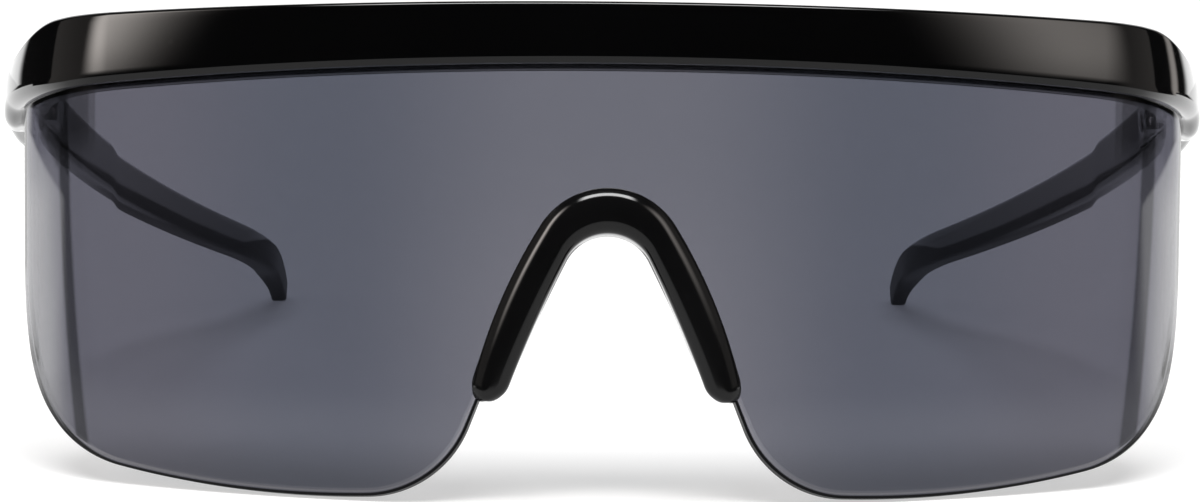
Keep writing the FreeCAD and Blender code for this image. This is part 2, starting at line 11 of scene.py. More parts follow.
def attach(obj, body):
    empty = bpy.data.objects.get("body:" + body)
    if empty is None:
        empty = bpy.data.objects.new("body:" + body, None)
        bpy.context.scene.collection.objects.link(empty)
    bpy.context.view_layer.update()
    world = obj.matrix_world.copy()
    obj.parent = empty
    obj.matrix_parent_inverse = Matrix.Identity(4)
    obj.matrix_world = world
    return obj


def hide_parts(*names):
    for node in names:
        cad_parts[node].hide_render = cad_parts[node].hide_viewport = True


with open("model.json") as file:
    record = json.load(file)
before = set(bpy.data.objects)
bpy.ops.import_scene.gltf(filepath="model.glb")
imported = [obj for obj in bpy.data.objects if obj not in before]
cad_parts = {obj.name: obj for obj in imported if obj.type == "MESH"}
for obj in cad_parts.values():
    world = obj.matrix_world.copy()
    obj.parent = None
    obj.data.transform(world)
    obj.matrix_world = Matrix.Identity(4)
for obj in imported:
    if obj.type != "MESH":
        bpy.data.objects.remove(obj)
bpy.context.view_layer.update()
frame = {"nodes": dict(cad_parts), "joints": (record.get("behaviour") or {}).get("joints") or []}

bl_info = {
    "name": "Shield sunglasses",
    "version": (1, 0, 0),
    "blender": (4, 5, 0),
    "location": "View3D > Sidebar > Eyewear",
    "description": "Dresses the packed sunglasses with their lens, frame, hinges and studio",
    "category": "Object",
}

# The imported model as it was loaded
FOLDS = {joint["name"]: joint for joint in frame["joints"]}
QUARTER_TURN = math.radians(90)
UP = Vector((0, 0, 1))

# How closely two points lie to be one, and how sharp a fold is to show as an edge
WELD = 1e-6
CREASE = math.radians(28)

# What the lens keeps at each point for its tint and its painted light and shade: its plan angle in degrees,
# its drop, whether it is on the front, how much of its painted dark rim shows and how far it is from the
# lower edge
LENS_MARKS = ("bend", "fall", "front", "rim", "edge")

# The share of the nose arch's way that its round top takes
ARCH_TOP = 0.5
WHITE = (1, 1, 1)


def length(description, millimetres):
    return FloatProperty(description=description, default=millimetres / 1000, unit="LENGTH", precision=5)


def angle(description, degrees):
    return FloatProperty(description=description, default=math.radians(degrees), subtype="ANGLE")


def share(description, value):
    return FloatProperty(description=description, default=value, min=0, subtype="FACTOR")


def amount(description, value):
    return FloatProperty(description=description, default=value, min=0)


def colour(description, value):
    return FloatVectorProperty(description=description, default=value, size=3, min=0, subtype="COLOR")


def count(description, value):
    return IntProperty(description=description, default=value, min=1, subtype="UNSIGNED")


def named(group):
    """Labels each setting of a group with its own name."""
    for name, setting in group.__annotations__.items():
        setting.keywords["name"] = name.replace("_", " ").capitalize()
    return group


@named
class LensSizes(bpy.types.PropertyGroup):
    """The wrapped lens, which the whole front follows."""
    front_radius: length("Plan radius of the lens's middle", 162.0)
    corner_radius: length("Plan radius of the bend at each side", 23.0)
    corner_start: angle("Plan angle where the bend begins", 21.4)
    end: angle("Plan angle of the lens's rear ends", 70.0)
    tilt: angle("Lean of the lens below the brow bar", 13.0)
    thickness: length("Thickness of the lens", 2.0)
    drop: length("From the brow bar down to the lowest points", 50.1)
    groove_depth: length("How far the lens reaches into the brow bar", 3.0)
    bevel: length("Bevel round the free edges", 0.25)
    lobe_middle: length("Lowest point of a lobe, from the middle", 28.2)
    lobe_inner_radius: length("Round side of a lobe beside the nose", 12.9)
    lobe_bottom_radius: length("Round bottom of a lobe", 110.0)
    lobe_outer_radius: length("Round outer side of a lobe", 17.0)
    lobe_outer_turn: angle("Rise of the lower edge where the rear corner begins", 47.0)
    rear_corner_start: angle("Plan angle where the rear corner begins", 42.0)
    rear_corner_radius: length("Round rear lower corner, along the bend", 30.0)
    notch_radius: length("Round top of the notch for the nose", 8.2)
    notch_drop: length("From the brow bar down to the notch", 15.4)
    notch_leg: angle("Spread of the notch's straight sides", 20.5)


@named
class BrowSizes(bpy.types.PropertyGroup):
    """The brow bar over the lens."""
    height: length("Height of the bar at its middle", 7.3)
    rise: length("How much higher the bar is near its corners", 1.25)
    rise_limit: share("Share of the front's half width where the rise stops", 1.08)
    shoulder_drop: length("Step down to the temples", 3.0)
    shoulder_start: angle("Plan angle where the step begins", 40.0)
    shoulder_end: angle("Plan angle where the step ends", 70.0)
    front_lip: length("Thickness in front of the lens", 1.4)
    rear_lip: length("Thickness behind the lens", 1.3)
    corner_radius: length("Plan radius of the outer corner", 26.2)
    end_trim: length("From the outermost point forward to the end", 1.86)
    top_round: length("Round along the top edges", 0.6)
    lower_bevel: length("Bevel along the lower front edge", 0.6)
    end_bevel: length("The same bevel near the ends", 1.7)
    bevel_start: angle("Plan angle where the bevel begins to widen", 35.0)
    flare: length("How far the ends reach below the bar to meet the temples", 1.25)
    flare_end: angle("Plan angle where the ends are down", 82.0)
    crown: length("How much the front face swells in the middle of its height", 0.1)
    groove_gap: length("Clearance of the lens in its groove", 0.04)
    soft_edge: length("Narrow round on the sharp edges", 0.08)


@named
class NoseSizes(bpy.types.PropertyGroup):
    """The bridge clipped over the lens's notch."""
    outer_radius: length("Round top of the outer arch", 9.3)
    outer_drop: length("From the brow bar down to the outer arch", 14.3)
    outer_shoulder: angle("Where the outer arch's legs begin", 32.0)
    outer_leg_radius: length("Curve of the outer legs", 63.0)
    inner_radius: length("Round top of the inner arch", 5.4)
    inner_drop: length("From the brow bar down to the inner arch", 19.6)
    inner_shoulder: angle("Where the inner arch's legs begin", 27.0)
    inner_leg_radius: length("Curve of the inner legs", 150.0)
    leg_drop: length("From the brow bar down to the feet", 39.2)
    lip_overlap: length("How far the lips reach over the lens", 1.3)
    lip: length("Thickness of the lip on each side of the lens", 1.0)
    foot_round: length("Round corners of the feet", 1.7)
    foot_lift: share("How much the feet rise towards the back, for each part of depth", 0.45)
    foot_fall: share("Share of the crest that is lost at the rounded feet", 0.6)
    pad_depth: length("How far the pads stand behind the lens", 6.0)
    pad_flare: length("How much the space widens towards the face", 1.6)
    pad_round: length("Round along the pads' rear edges", 0.8)
    inner_round: length("Round along the inner front edge", 1.3)
    crest: length("Height of the domed front over the lens", 1.3)
    outer_round: length("Width of the dome's slope along the outer edge", 2.4)
    lip_share: share("Height of the dome at the outer edge, as a share of the crest", 0.1)
    lift_start: share("Share of the arch where the feet begin to rise", 0.8)
    soft_edge: length("Narrow round on the sharp edges", 0.1)


@named
class TempleSizes(bpy.types.PropertyGroup):
    """The two folding temples."""
    thickness: length("Thickness of a temple", 4.0)
    overhang: length("How far a temple stands outside the brow bar", 0.14)
    gap: length("Between the brow bar's end and the temple", 0.3)
    bow_radius: length("First plan bend, inward", 300.0)
    bow_turn: angle("Turn of each plan bend", 18.6)
    return_radius: length("Second plan bend, straight back again", 62.0)
    root_top: length("Top of the root over the brow bar's lower edge", 6.4)
    root_bottom: length("Bottom of the root", -1.3)
    hook_top: length("Top where the hook begins", 4.9)
    hook_bottom: length("Bottom where the hook begins", 0.1)
    hook_radius: length("Bend over the ear", 40.0)
    hook_turn: angle("Turn of the bend over the ear", 20.0)
    edge_round: length("Round along the edges", 1.1)
    root_round: length("Round at the root", 0.4)
    root_corner: length("How far the root's outer corner is drawn in", 1.3)
    root_taper: length("Length of the root's rounded outer corner", 3.5)
    root_lift: length("How far the root's underside is drawn up", 0.8)
    root_lift_run: length("Length over which the underside comes down again", 8.0)
    tip_taper: length("How much thinner the hook is at its tip", 1.4)
    tip_flat: share("Share of the hook's height that is left at the very tip", 0.02)
    round_steps: count("Steps round each edge", 7)
    soft_edge: length("Narrow round on the sharp edges", 0.06)


@named
class HingeSizes(bpy.types.PropertyGroup):
    """Hinges, where the frame's recesses and rivets belong to them."""
    seat_wall: length("Plastic left outside a hinge", 3.66)
    seat_length: length("Length of the seat at the brow bar's end", 5.7)
    height: length("Height of a hinge", 5.0)
    leaf: length("Thickness of the leaves", 0.8)
    leaf_length: length("Length of the leaf on the temple", 8.4)
    barrel_inset: length("From the leaf's face to the hinge's axis", 0.7)
    swing: length("Room for the barrels behind the axis", 1.236)
    end_margin: length("Room at the closed end of a seat", 0.2)
    recess_margin: length("Room round the leaf in the temple", 0.15)
    rivet_radius: length("Radius of a rivet's head", 0.9)
    rivet_height: length("Height of a rivet's head", 0.35)
    rivet_round: length("Sloped rim of a rivet's head", 0.2)
    front_spacing: length("Between the two rivets on the brow bar", 2.5)
    temple_spacing: length("Between the two rivets on the temple", 3.8)
    rivet_sides: count("Sides round a rivet's head", 32)
    soft_edge: length("Narrow round on the sharp edges", 0.04)


@named
class Finishes(bpy.types.PropertyGroup):
    """Colours and gloss."""
    frame_colour: colour("Gloss plastic of the brow bar and temples", (0.0010, 0.0010, 0.0011))
    nose_colour: colour("Plastic of the nose bridge", (0.0030, 0.0030, 0.0032))
    lens_colour: colour("Light that passes through the lens", (0.091, 0.098, 0.126))
    lens_low_colour: colour("The same in the lobes", (0.096, 0.102, 0.131))
    lens_middle_colour: colour("The same near the nose", (0.158, 0.158, 0.186))
    lens_side_colour: colour("The same where the bends begin", (0.111, 0.111, 0.139))
    # The next colour is a painted reflection: the lens is lighter behind the bends, standing in for the white
    # wall that it mirrors there.
    lens_end_colour: colour("The same behind the bends", (0.225, 0.225, 0.242))
    # The next colour is painted shade: dark bands and wedges in each bend that stand in for the bends'
    # refraction and the shade of the temples and hinges seen through the lens.
    lens_band_colour: colour("The dark marks in each bend", (0.007, 0.0075, 0.009))
    # The next colour is a painted highlight: a light line along the lower edge, standing in for the edge's
    # reflection.
    lens_glint_colour: colour("The light line along the lower edge", (0.24, 0.235, 0.26))
    # The next colour is painted shade: the cut edge and a line along the lower edge are dark, standing in for
    # the edge's refraction.
    lens_painted_rim_colour: colour("The cut edge, seen along the lens", (0.004, 0.004, 0.005))
    steel_colour: colour("Hinges, screws and rivets", (0.60, 0.60, 0.61))
    frame_roughness: share("Roughness of the frame", 0.045)
    nose_roughness: share("Roughness of the nose bridge", 0.07)
    plastic_index: amount("Index of refraction of the lens and the plastics", 1.5)
    coat_index: amount("Index of refraction of the coat on the front's ends", 1.85)
    frame_ripple: length("Height of the frame's ripple", 0.004)
    nose_ripple: length("Height of the nose bridge's ripple", 0.006)
    grain_depth: length("Depth of the plastics' grain", 0.0006)
    brushing_depth: length("Depth of the lines in the steel", 0.003)


@named
class StageSettings(bpy.types.PropertyGroup):
    """Camera, floor and light."""
    camera_place: FloatVectorProperty(description="Where the camera stands", unit="LENGTH", precision=5,
                                      default=(-0.0062, -0.3771, 0.0696))
    camera_pitch: angle("How far the camera looks down", 7.57)
    camera_yaw: angle("How far it looks to the viewer's right", 1.01)
    camera_roll: angle("How far it leans", 0.56)
    focal_length: FloatProperty(description="Focal length in millimetres", default=78.0, unit="CAMERA")
    floor_size: length("How far the floor reaches to the sides and back", 15000.0)
    floor_front: length("How far the floor reaches in front of the middle", 1000.0)
    floor_shade: share("Share of the floor's light that shows shadows", 0.5)
    floor_glow: amount("Brightness of the rest of the floor's light", 1.1)
    ceiling: amount("Light from the dark ceiling and the camera's side", 0.012)
    wall_light: amount("Brightness of the white wall behind", 1.8)
    left_light: amount("Brightness of the soft box on the viewer's left", 8.5)
    right_light: amount("Brightness of the soft box on the viewer's right", 2.9)
    spill_light: amount("Dim light between a soft box and the wall", 0.2)
    top_light: amount("Brightness of the soft box overhead", 12.0)
    arc_light: amount("Brightness of the panel that the nose bridge's top mirrors", 14.0)
    lamp_colour: colour("Colour of the soft boxes at the sides", (1.0, 0.93, 0.88))
    floor_mirror: amount("Brightness of the lit floor where gloss mirrors it", 1.45)


GROUPS = {
    "shield_lens": LensSizes,
    "shield_brow": BrowSizes,
    "shield_nose": NoseSizes,
    "shield_temple": TempleSizes,
    "shield_hinge": HingeSizes,
    "shield_finish": Finishes,
    "shield_stage": StageSettings,
}


def sizes(name):
    return getattr(bpy.context.scene, "shield_" + name)


# Places on the front, as the glasses are worn: +X to the wearer's left, +Y to the back, +Z up

def plan_point(turn, offset, corner_radius):
    """A point of the front's plan curve, or of a curve outside it by the offset."""
    lens = sizes("lens")
    side = -1 if turn < 0 else 1
    turn = abs(turn)
    radius = lens.front_radius + offset
    if turn <= lens.corner_start:
        return Vector((side * radius * math.sin(turn), lens.front_radius - radius * math.cos(turn), 0))
    reach = radius - corner_radius
    across = reach * math.sin(lens.corner_start) + corner_radius * math.sin(turn)
    back = lens.front_radius - reach * math.cos(lens.corner_start) - corner_radius * math.cos(turn)
    return Vector((side * across, back, 0))


def plan_length(turn):
    """Length along the lens from its middle to a plan angle."""
    lens = sizes("lens")
    bend = max(abs(turn) - lens.corner_start, 0)
    return math.copysign((abs(turn) - bend) * lens.front_radius + bend * lens.corner_radius, turn)


def plan_turn(distance):
    """Plan angle at a length along the lens."""
    lens = sizes("lens")
    front = lens.corner_start * lens.front_radius
    bend = max(abs(distance) - front, 0)
    return math.copysign((abs(distance) - bend) / lens.front_radius + bend / lens.corner_radius, distance)


def turn_across(across):
    """Plan angle at a distance to one side, seen from the front."""
    lens = sizes("lens")
    if across <= lens.front_radius * math.sin(lens.corner_start):
        return math.asin(across / lens.front_radius)
    middle = (lens.front_radius - lens.corner_radius) * math.sin(lens.corner_start)
    return math.asin((across - middle) / lens.corner_radius)


def lens_down():
    tilt = sizes("lens").tilt
    return Vector((0, math.sin(tilt), -math.cos(tilt)))


def lens_place(distance, drop, offset):
    """A point along, down and in front of the lens."""
    corner = sizes("lens").corner_radius + offset
    return plan_point(plan_turn(distance), offset, corner) + lens_down() * drop


def brow_end_depth():
    brow = sizes("brow")
    return plan_point(QUARTER_TURN, brow.front_lip, brow.corner_radius).y - brow.end_trim


def brow_side():
    brow = sizes("brow")
    return plan_point(QUARTER_TURN, brow.front_lip, brow.corner_radius).x


def hinge_axis():
    """A point of the left hinge's axis."""
    temple = sizes("temple")
    hinge = sizes("hinge")
    return Vector((brow_side() - hinge.seat_wall - hinge.leaf - hinge.barrel_inset,
                   brow_end_depth() + temple.gap / 2,
                   (temple.root_top + temple.root_bottom) / 2))


def standing():
    """From the glasses as worn to the glasses as they stand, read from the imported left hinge."""
    fold = FOLDS["left_fold"]
    pitch = math.atan2(fold["axis"][1], fold["axis"][2])
    turn = Matrix.Rotation(-pitch, 4, "X")
    return Matrix.Translation(Vector(fold["pos_m"]) - turn @ hinge_axis()) @ turn


def eased(value, low, high):
    """0 below the low value and 1 above the high one, smooth between."""
    part = min(max((value - low) / (high - low), 0), 1)
    return part * part * (3 - 2 * part)


def evenly(first, last, steps):
    return [first + (last - first) * step / steps for step in range(steps + 1)]


def quarter_round(radius, steps):
    """Places in from a side and down from a top, round the corner between them."""
    return [(radius * (1 - math.cos(turn)), radius * (1 - math.sin(turn)))
            for turn in evenly(0, QUARTER_TURN, steps)]


# Meshes

def skin(name, loops):
    """A closed mesh over a row of closed loops with as many points each, flat at both ends."""
    bm = bmesh.new()
    rows = [[bm.verts.new(place) for place in loop] for loop in loops]
    around = len(loops[0])
    for first, second in zip(rows, rows[1:]):
        for order in range(around):
            after = (order + 1) % around
            bm.faces.new((first[order], first[after], second[after], second[order]))
    bm.faces.new(rows[0])
    bm.faces.new(list(reversed(rows[-1])))
    return mesh_from(bm, name)


def editable(mesh):
    bm = bmesh.new()
    bm.from_mesh(mesh)
    return bm


def mesh_from(bm, name):
    """Welds a shape, turns its faces outward and makes it a mesh."""
    bmesh.ops.remove_doubles(bm, verts=bm.verts[:], dist=WELD)
    bmesh.ops.dissolve_degenerate(bm, dist=WELD, edges=bm.edges[:])
    bmesh.ops.recalc_face_normals(bm, faces=bm.faces[:])
    mesh = bpy.data.meshes.new(name)
    bm.to_mesh(mesh)
    bm.free()
    return mesh


def mirrored(mesh, name):
    """The same shape on the wearer's right."""
    bm = editable(mesh)
    bmesh.ops.transform(bm, matrix=Matrix.Scale(-1, 4, (1, 0, 0)), verts=bm.verts[:])
    return mesh_from(bm, name)


def box_mesh(low, high):
    bm = bmesh.new()
    middle = Matrix.Translation((low + high) / 2) @ Matrix.Diagonal((*(high - low), 1))
    bmesh.ops.create_cube(bm, size=1, matrix=middle)
    return mesh_from(bm, "cutter")


def evaluated(obj, name):
    """What an object's modifiers give, as a plain mesh. The object itself is removed."""
    bpy.context.view_layer.update()
    mesh = bpy.data.meshes.new_from_object(obj.evaluated_get(bpy.context.evaluated_depsgraph_get()))
    mesh.name = name
    bpy.data.objects.remove(obj)
    return mesh


def linked(name, data):
    obj = bpy.data.objects.new(name, data)
    bpy.context.scene.collection.objects.link(obj)
    return obj


def carved(mesh, boxes):
    """A mesh without what lies in the boxes."""
    body = linked("carved", mesh)
    cutters = []
    for low, high in boxes:
        cutter = linked("cutter", box_mesh(low, high))
        modifier = body.modifiers.new("cut", "BOOLEAN")
        modifier.operation = "DIFFERENCE"
        modifier.solver = "EXACT"
        modifier.object = cutter
        cutters.append(cutter)
    result = evaluated(body, mesh.name)
    for cutter in cutters:
        bpy.data.objects.remove(cutter)
    return result


def softened(mesh, width):
    """A mesh with its sharp edges broken by a narrow round."""
    body = linked("softened", mesh)
    modifier = body.modifiers.new("round", "BEVEL")
    modifier.width = width
    modifier.segments = 2
    modifier.limit_method = "ANGLE"
    modifier.angle_limit = CREASE
    modifier.use_clamp_overlap = True
    return evaluated(body, mesh.name)


def finished(name, mesh, body, slot, nodes, worn=True):
    """A piece with its finish, on its body, in place of its CAD nodes. A piece made as worn is stood up."""
    if worn:
        mesh.transform(standing())
    if not mesh.polygons:
        raise RuntimeError(name + " has no faces")
    mesh.materials.clear()
    mesh.materials.append(finish_of(slot))
    mesh.shade_smooth()
    mesh.set_sharp_from_angle(angle=CREASE)
    obj = linked(name, mesh)
    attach(obj, body)
    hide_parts(*nodes)


# Node trees

def sum_of(operation):
    """A method that joins two numbers by a Math node."""
    def method(self, other):
        return self.maths(operation, self, other)
    return method


class Wire:
    """A node's output. Sums on it add Math nodes."""

    def __init__(self, maker, socket):
        self.maker = maker
        self.socket = socket

    def maths(self, operation, *values):
        return self.maker.add("ShaderNodeMath", dict(enumerate(values)), operation=operation)

    __add__ = __radd__ = sum_of("ADD")
    __sub__ = sum_of("SUBTRACT")
    __mul__ = __rmul__ = sum_of("MULTIPLY")
    __pow__ = sum_of("POWER")
    highest = sum_of("MAXIMUM")

    def __rsub__(self, other):
        return self.maths("SUBTRACT", other, self)

    def size(self):
        return self.maths("ABSOLUTE", self)

    def degrees(self):
        return self.maths("DEGREES", self)

    def between(self, low, high):
        """0 below the low value and 1 above the high one, smooth between."""
        return self.maker.add("ShaderNodeMapRange", {"Value": self, "From Min": low, "From Max": high},
                              interpolation_type="SMOOTHSTEP")


class NodeMaker:
    """Adds nodes to one tree."""

    def __init__(self, tree):
        self.tree = tree
        tree.nodes.clear()

    def feed(self, socket, value):
        if isinstance(value, Wire):
            self.tree.links.new(value.socket, socket)
        elif socket.type == "RGBA":
            socket.default_value = (*value, 1)
        else:
            socket.default_value = value

    def node(self, kind, sockets=None, **settings):
        node = self.tree.nodes.new(kind)
        for name, value in settings.items():
            setattr(node, name, value)
        for name, value in (sockets or {}).items():
            self.feed(node.inputs[name], value)
        return node

    def add(self, kind, sockets=None, output=0, **settings):
        """One output of a new node."""
        return Wire(self, self.node(kind, sockets, **settings).outputs[output])

    def split(self, vector):
        """The three parts of a vector."""
        parts = self.node("ShaderNodeSeparateXYZ", {"Vector": vector}).outputs
        return [Wire(self, part) for part in parts]

    def ray(self, kind):
        """1 for rays of a kind and 0 for others."""
        return self.add("ShaderNodeLightPath", output=kind)

    def noise(self, place, scale, detail, roughness):
        """Smooth noise from 0 to 1, with its scale in waves a metre."""
        return self.add("ShaderNodeTexNoise", {
            "Vector": place, "Scale": scale, "Detail": detail, "Roughness": roughness})

    def bump(self, height):
        return self.add("ShaderNodeBump", {"Strength": 1.0, "Distance": 1.0, "Height": height})

    def blend(self, amount, first, second):
        """One colour passing into another."""
        return self.add("ShaderNodeMix", {0: amount, 6: first, 7: second}, output=2, data_type="RGBA")

    def mix(self, amount, first, second):
        """One shader passing into another."""
        return self.add("ShaderNodeMixShader", {"Fac": amount, 1: first, 2: second})

    def vector(self, operation, sockets):
        return self.add("ShaderNodeVectorMath", sockets, operation=operation)

    def keep(self, shape, name, value):
        """A shape with a vector kept at each point under a name."""
        return self.add("GeometryNodeStoreNamedAttribute", {"Geometry": shape, "Name": name, "Value": value},
                        data_type="FLOAT_VECTOR", domain="POINT")

    def kept(self, name, kind="FLOAT_VECTOR"):
        """What was kept at each point under a name."""
        return self.add("GeometryNodeInputNamedAttribute", {"Name": name}, data_type=kind)


def new_material(name):
    material = bpy.data.materials.new(name)
    material.use_nodes = True
    maker = NodeMaker(material.node_tree)
    return material, maker, maker.add("ShaderNodeTexCoord", output="Object")


def surface(maker, shader):
    maker.node("ShaderNodeOutputMaterial", {"Surface": shader})


def gloss_plastic(name, rgb, roughness, ripple):
    """Moulded plastic with a faint ripple, grain and handling haze, polished at the front's ends."""
    finish = sizes("finish")
    material, maker, place = new_material(name)
    across, back, _ = maker.split(place)
    ends = across.size().between(0.06, 0.074) * (1 - back.between(-0.05, -0.03))
    haze = maker.noise(place, 45, 4, 0.6).between(0.45, 0.75)
    grain = maker.noise(place, 2600, 3, 0.55)
    specks = maker.noise(place, 900, 1, 0.4).between(0.72, 0.78)
    ripples = maker.noise(place, 70, 1, 0.3)
    lighter = [channel * 1.7 for channel in rgb]
    surface(maker, maker.add("ShaderNodeBsdfPrincipled", {
        "Base Color": maker.blend(haze * 0.5 + specks * 0.4, rgb, lighter),
        "Roughness": roughness + haze * 0.018 + grain * 0.02 + specks * 0.05,
        "IOR": finish.plastic_index,
        "Coat Weight": ends,
        "Coat Roughness": 0.03,
        "Coat IOR": finish.coat_index,
        "Normal": maker.bump(ripples * ripple + grain * finish.grain_depth),
    }))
    return material


def smoke_lens(name):
    """Clear smoke plastic with tints, painted shade bands in its bends, a painted dark line and a painted
    highlight along its lower edge, painted reflection at its ends and faint wipe marks.
    """
    finish = sizes("finish")
    material, maker, place = new_material(name)
    bend, fall, front, rim, edge = (maker.add("ShaderNodeAttribute", output="Fac", attribute_name=mark)
                                    for mark in LENS_MARKS)
    across, _, up = maker.split(place)
    right = across.between(-0.001, 0.001)
    across = across.size()
    near_floor = 1 - up.between(0.012, 0.045)
    middle = (1 - across.between(0.006, 0.032)) * (0.6 + near_floor * 0.4)
    # The painted shade bands and wedges and the painted lighter ends follow the plan angle in degrees and
    # slope with the drop in metres
    # Painted reflection: the lens is lighter behind each bend, except close under the brow bar, standing in
    # for the wall it mirrors
    end_start = 41.5 + right * 3 - fall ** 2 * 4100
    ends = (bend - end_start).between(0, 14.5) * fall.between(0.005, 0.014)
    past_band = bend - 40.8 - right * 1.9 + fall ** 2 * 4400
    beside_band = past_band.size() - right * 1.1
    # Painted shade: a dark stripe across each bend, on the front face only, standing in for the bend's
    # refraction
    band = (1 - beside_band.between(1.5, 3.4)) * front * (0.95 - right * 0.05)
    # Painted shade wedges beside the stripe, where the temple and hinge darken what the lens shows
    outer_shade_wedge = (62 - fall * 1900 - bend).between(0, 2) * bend.between(40.5, 42) * (1 - right)
    inner_shade_wedge = bend.between(29.6, 30.6) * (1 - past_band.between(2, 5)) * (1 - fall.between(0.004, 0.0095))
    dark = band.highest(outer_shade_wedge * 0.75).highest(inner_shade_wedge * 0.65)
    before_rear = 1 - bend.between(40, 55)
    # Painted highlight: a light line just inside the lower edge, faded out towards the rear
    glint = edge.between(0.0004, 0.0005) * (1 - edge.between(0.0008, 0.0010)) * before_rear
    # Painted shade: a dark line along the lower edge, standing in for the edge's refraction
    painted_lower_line = (1 - edge.between(0.00025, 0.0004)) * before_rear
    tint = finish.lens_colour
    low = fall.between(0.012, 0.04)
    side = across.between(0.035, 0.058)
    for amount, part in ((low, "low"), (middle, "middle"), (side, "side"), (ends, "end"), (dark, "band"),
                         (glint, "glint")):
        tint = maker.blend(amount, tint, getattr(finish, "lens_" + part + "_colour"))
    wipes = maker.add("ShaderNodeMapping", {"Vector": place, "Rotation": (0, 0.6, 0), "Scale": (1, 1, 6)})
    marks = maker.noise(wipes, 60, 4, 0.6).between(0.5, 0.8)
    clear = maker.add("ShaderNodeBsdfPrincipled", {
        "Base Color": tint, "Roughness": 0.004 + marks * 0.012, "IOR": finish.plastic_index,
        "Transmission Weight": 1.0})
    # The painted dark rim and lower line take this opaque dark shader in place of the clear plastic
    cut = maker.add("ShaderNodeBsdfPrincipled", {
        "Base Color": finish.lens_painted_rim_colour, "Roughness": 0.35, "Specular IOR Level": 0.1})
    surface(maker, maker.mix(rim.highest(painted_lower_line), clear, cut))
    return material


def hinge_steel(name):
    """Brushed steel with fine lines along the leaves."""
    finish = sizes("finish")
    material, maker, place = new_material(name)
    lines = maker.add("ShaderNodeMapping", {"Vector": place, "Scale": (1, 0.08, 1)})
    brushing = maker.noise(lines, 9000, 3, 0.6)
    wear = maker.noise(place, 500, 3, 0.6).between(0.5, 0.75)
    darker = [channel * 0.7 for channel in finish.steel_colour]
    surface(maker, maker.add("ShaderNodeBsdfPrincipled", {
        "Base Color": maker.blend(brushing * 0.6 + wear * 0.3, finish.steel_colour, darker),
        "Metallic": 1.0,
        "Roughness": 0.22 + brushing * 0.16 + wear * 0.08,
        "Normal": maker.bump(brushing * finish.brushing_depth),
    }))
    return material


def finish_of(slot):
    """A finish by the name of its slot, made once."""
    name = "dressed_" + slot
    known = bpy.data.materials.get(name)
    if known:
        return known
    finish = sizes("finish")
    if slot == "frame_black":
        return gloss_plastic(name, finish.frame_colour, finish.frame_roughness, finish.frame_ripple)
    if slot == "nose_black":
        return gloss_plastic(name, finish.nose_colour, finish.nose_roughness, finish.nose_ripple)
    if slot == "smoke_lens":
        return smoke_lens(name)
    return hinge_steel(name)


# Pieces

def brow_height(turn):
    """Height of the bar's top: it rises outward, then steps down to meet the temples."""
    brow = sizes("brow")
    lens = sizes("lens")
    turn = abs(turn)
    half_width = plan_point(lens.corner_start, 0, lens.corner_radius).x
    part = plan_point(turn, 0, lens.corner_radius).x / half_width
    rise = brow.rise * min(part, brow.rise_limit) ** 2
    return brow.height + rise - brow.shoulder_drop * eased(turn, brow.shoulder_start, brow.shoulder_end)


def brow_loop(turn, groove_depth):
    """The bar's section at a plan angle, round from its lower front edge."""
    brow = sizes("brow")
    lens = sizes("lens")
    inner_offset = -lens.thickness - brow.rear_lip
    outer = plan_point(turn, brow.front_lip, brow.corner_radius)
    inner = plan_point(turn, inner_offset, lens.corner_radius + inner_offset)
    inward = (inner - outer).normalized()
    width = (inner - outer).length
    top = brow_height(turn)
    foot = -brow.flare * eased(abs(turn), lens.end, brow.flare_end)
    widening = eased(abs(turn), brow.bevel_start, lens.end)
    bevel = brow.lower_bevel + (brow.end_bevel - brow.lower_bevel) * widening
    face_start = foot + bevel
    face = top - brow.top_round - face_start
    section = []
    for part, rounded in zip(evenly(0, 1, 8), reversed(quarter_round(1, 8)[1:])):
        inset, rise = Vector((1 - part, part)).lerp(Vector(rounded), widening) * bevel
        section.append((inset, foot + rise))
    section += [(-4 * brow.crown * part * (1 - part), face_start + face * part) for part in evenly(0, 1, 10)]
    arc = quarter_round(brow.top_round, 8)
    section += [(inset, top - fall) for inset, fall in arc[1:]]
    section += [(width - inset, top - fall) for inset, fall in reversed(arc)]
    section.append((width, foot))
    loop = [outer + inward * inset + UP * height for inset, height in section]
    rear = -lens.thickness - brow.groove_gap
    groove = ((rear, 0), (rear, groove_depth), (brow.groove_gap, groove_depth), (brow.groove_gap, 0))
    for offset, depth in groove:
        place = plan_point(turn, offset, lens.corner_radius + offset) - lens_down() * depth
        loop.append(place + UP * foot)
    return loop


def brow_bar():
    lens = sizes("lens")
    hinge = sizes("hinge")
    bend = evenly(lens.corner_start, lens.end, 60)
    rear = evenly(lens.end, QUARTER_TURN, 20)
    front = evenly(-lens.corner_start, lens.corner_start, 140)
    grooved = [-turn for turn in reversed(bend)] + front[1:-1] + bend
    loops = [brow_loop(-turn, 0) for turn in reversed(rear)]
    loops += [brow_loop(turn, lens.groove_depth) for turn in grooved]
    loops += [brow_loop(turn, 0) for turn in rear]
    bm = editable(skin("brow_bar", loops))
    end = brow_end_depth()
    bmesh.ops.bisect_plane(bm, geom=bm.verts[:] + bm.edges[:] + bm.faces[:], dist=WELD,
                           plane_co=(0, end, 0), plane_no=(0, 1, 0), clear_outer=True)
    bmesh.ops.edgeloop_fill(bm, edges=[edge for edge in bm.edges if edge.is_boundary])
    seat_x = brow_side() - hinge.seat_wall
    far = 2 * end
    seat = (Vector((-seat_x, end - hinge.seat_length, -far)), Vector((seat_x, far, far)))
    return carved(mesh_from(bm, "brow_bar"), [seat])


def lower_arc(start, radius, first_turn, last_turn, steps=24):
    """A round stretch of the lens's lower edge, whose rise turns from one angle to the other."""
    return [(start[0] + radius * (math.sin(turn) - math.sin(first_turn)),
             start[1] - radius * (math.cos(first_turn) - math.cos(turn)))
            for turn in evenly(first_turn, last_turn, steps)]


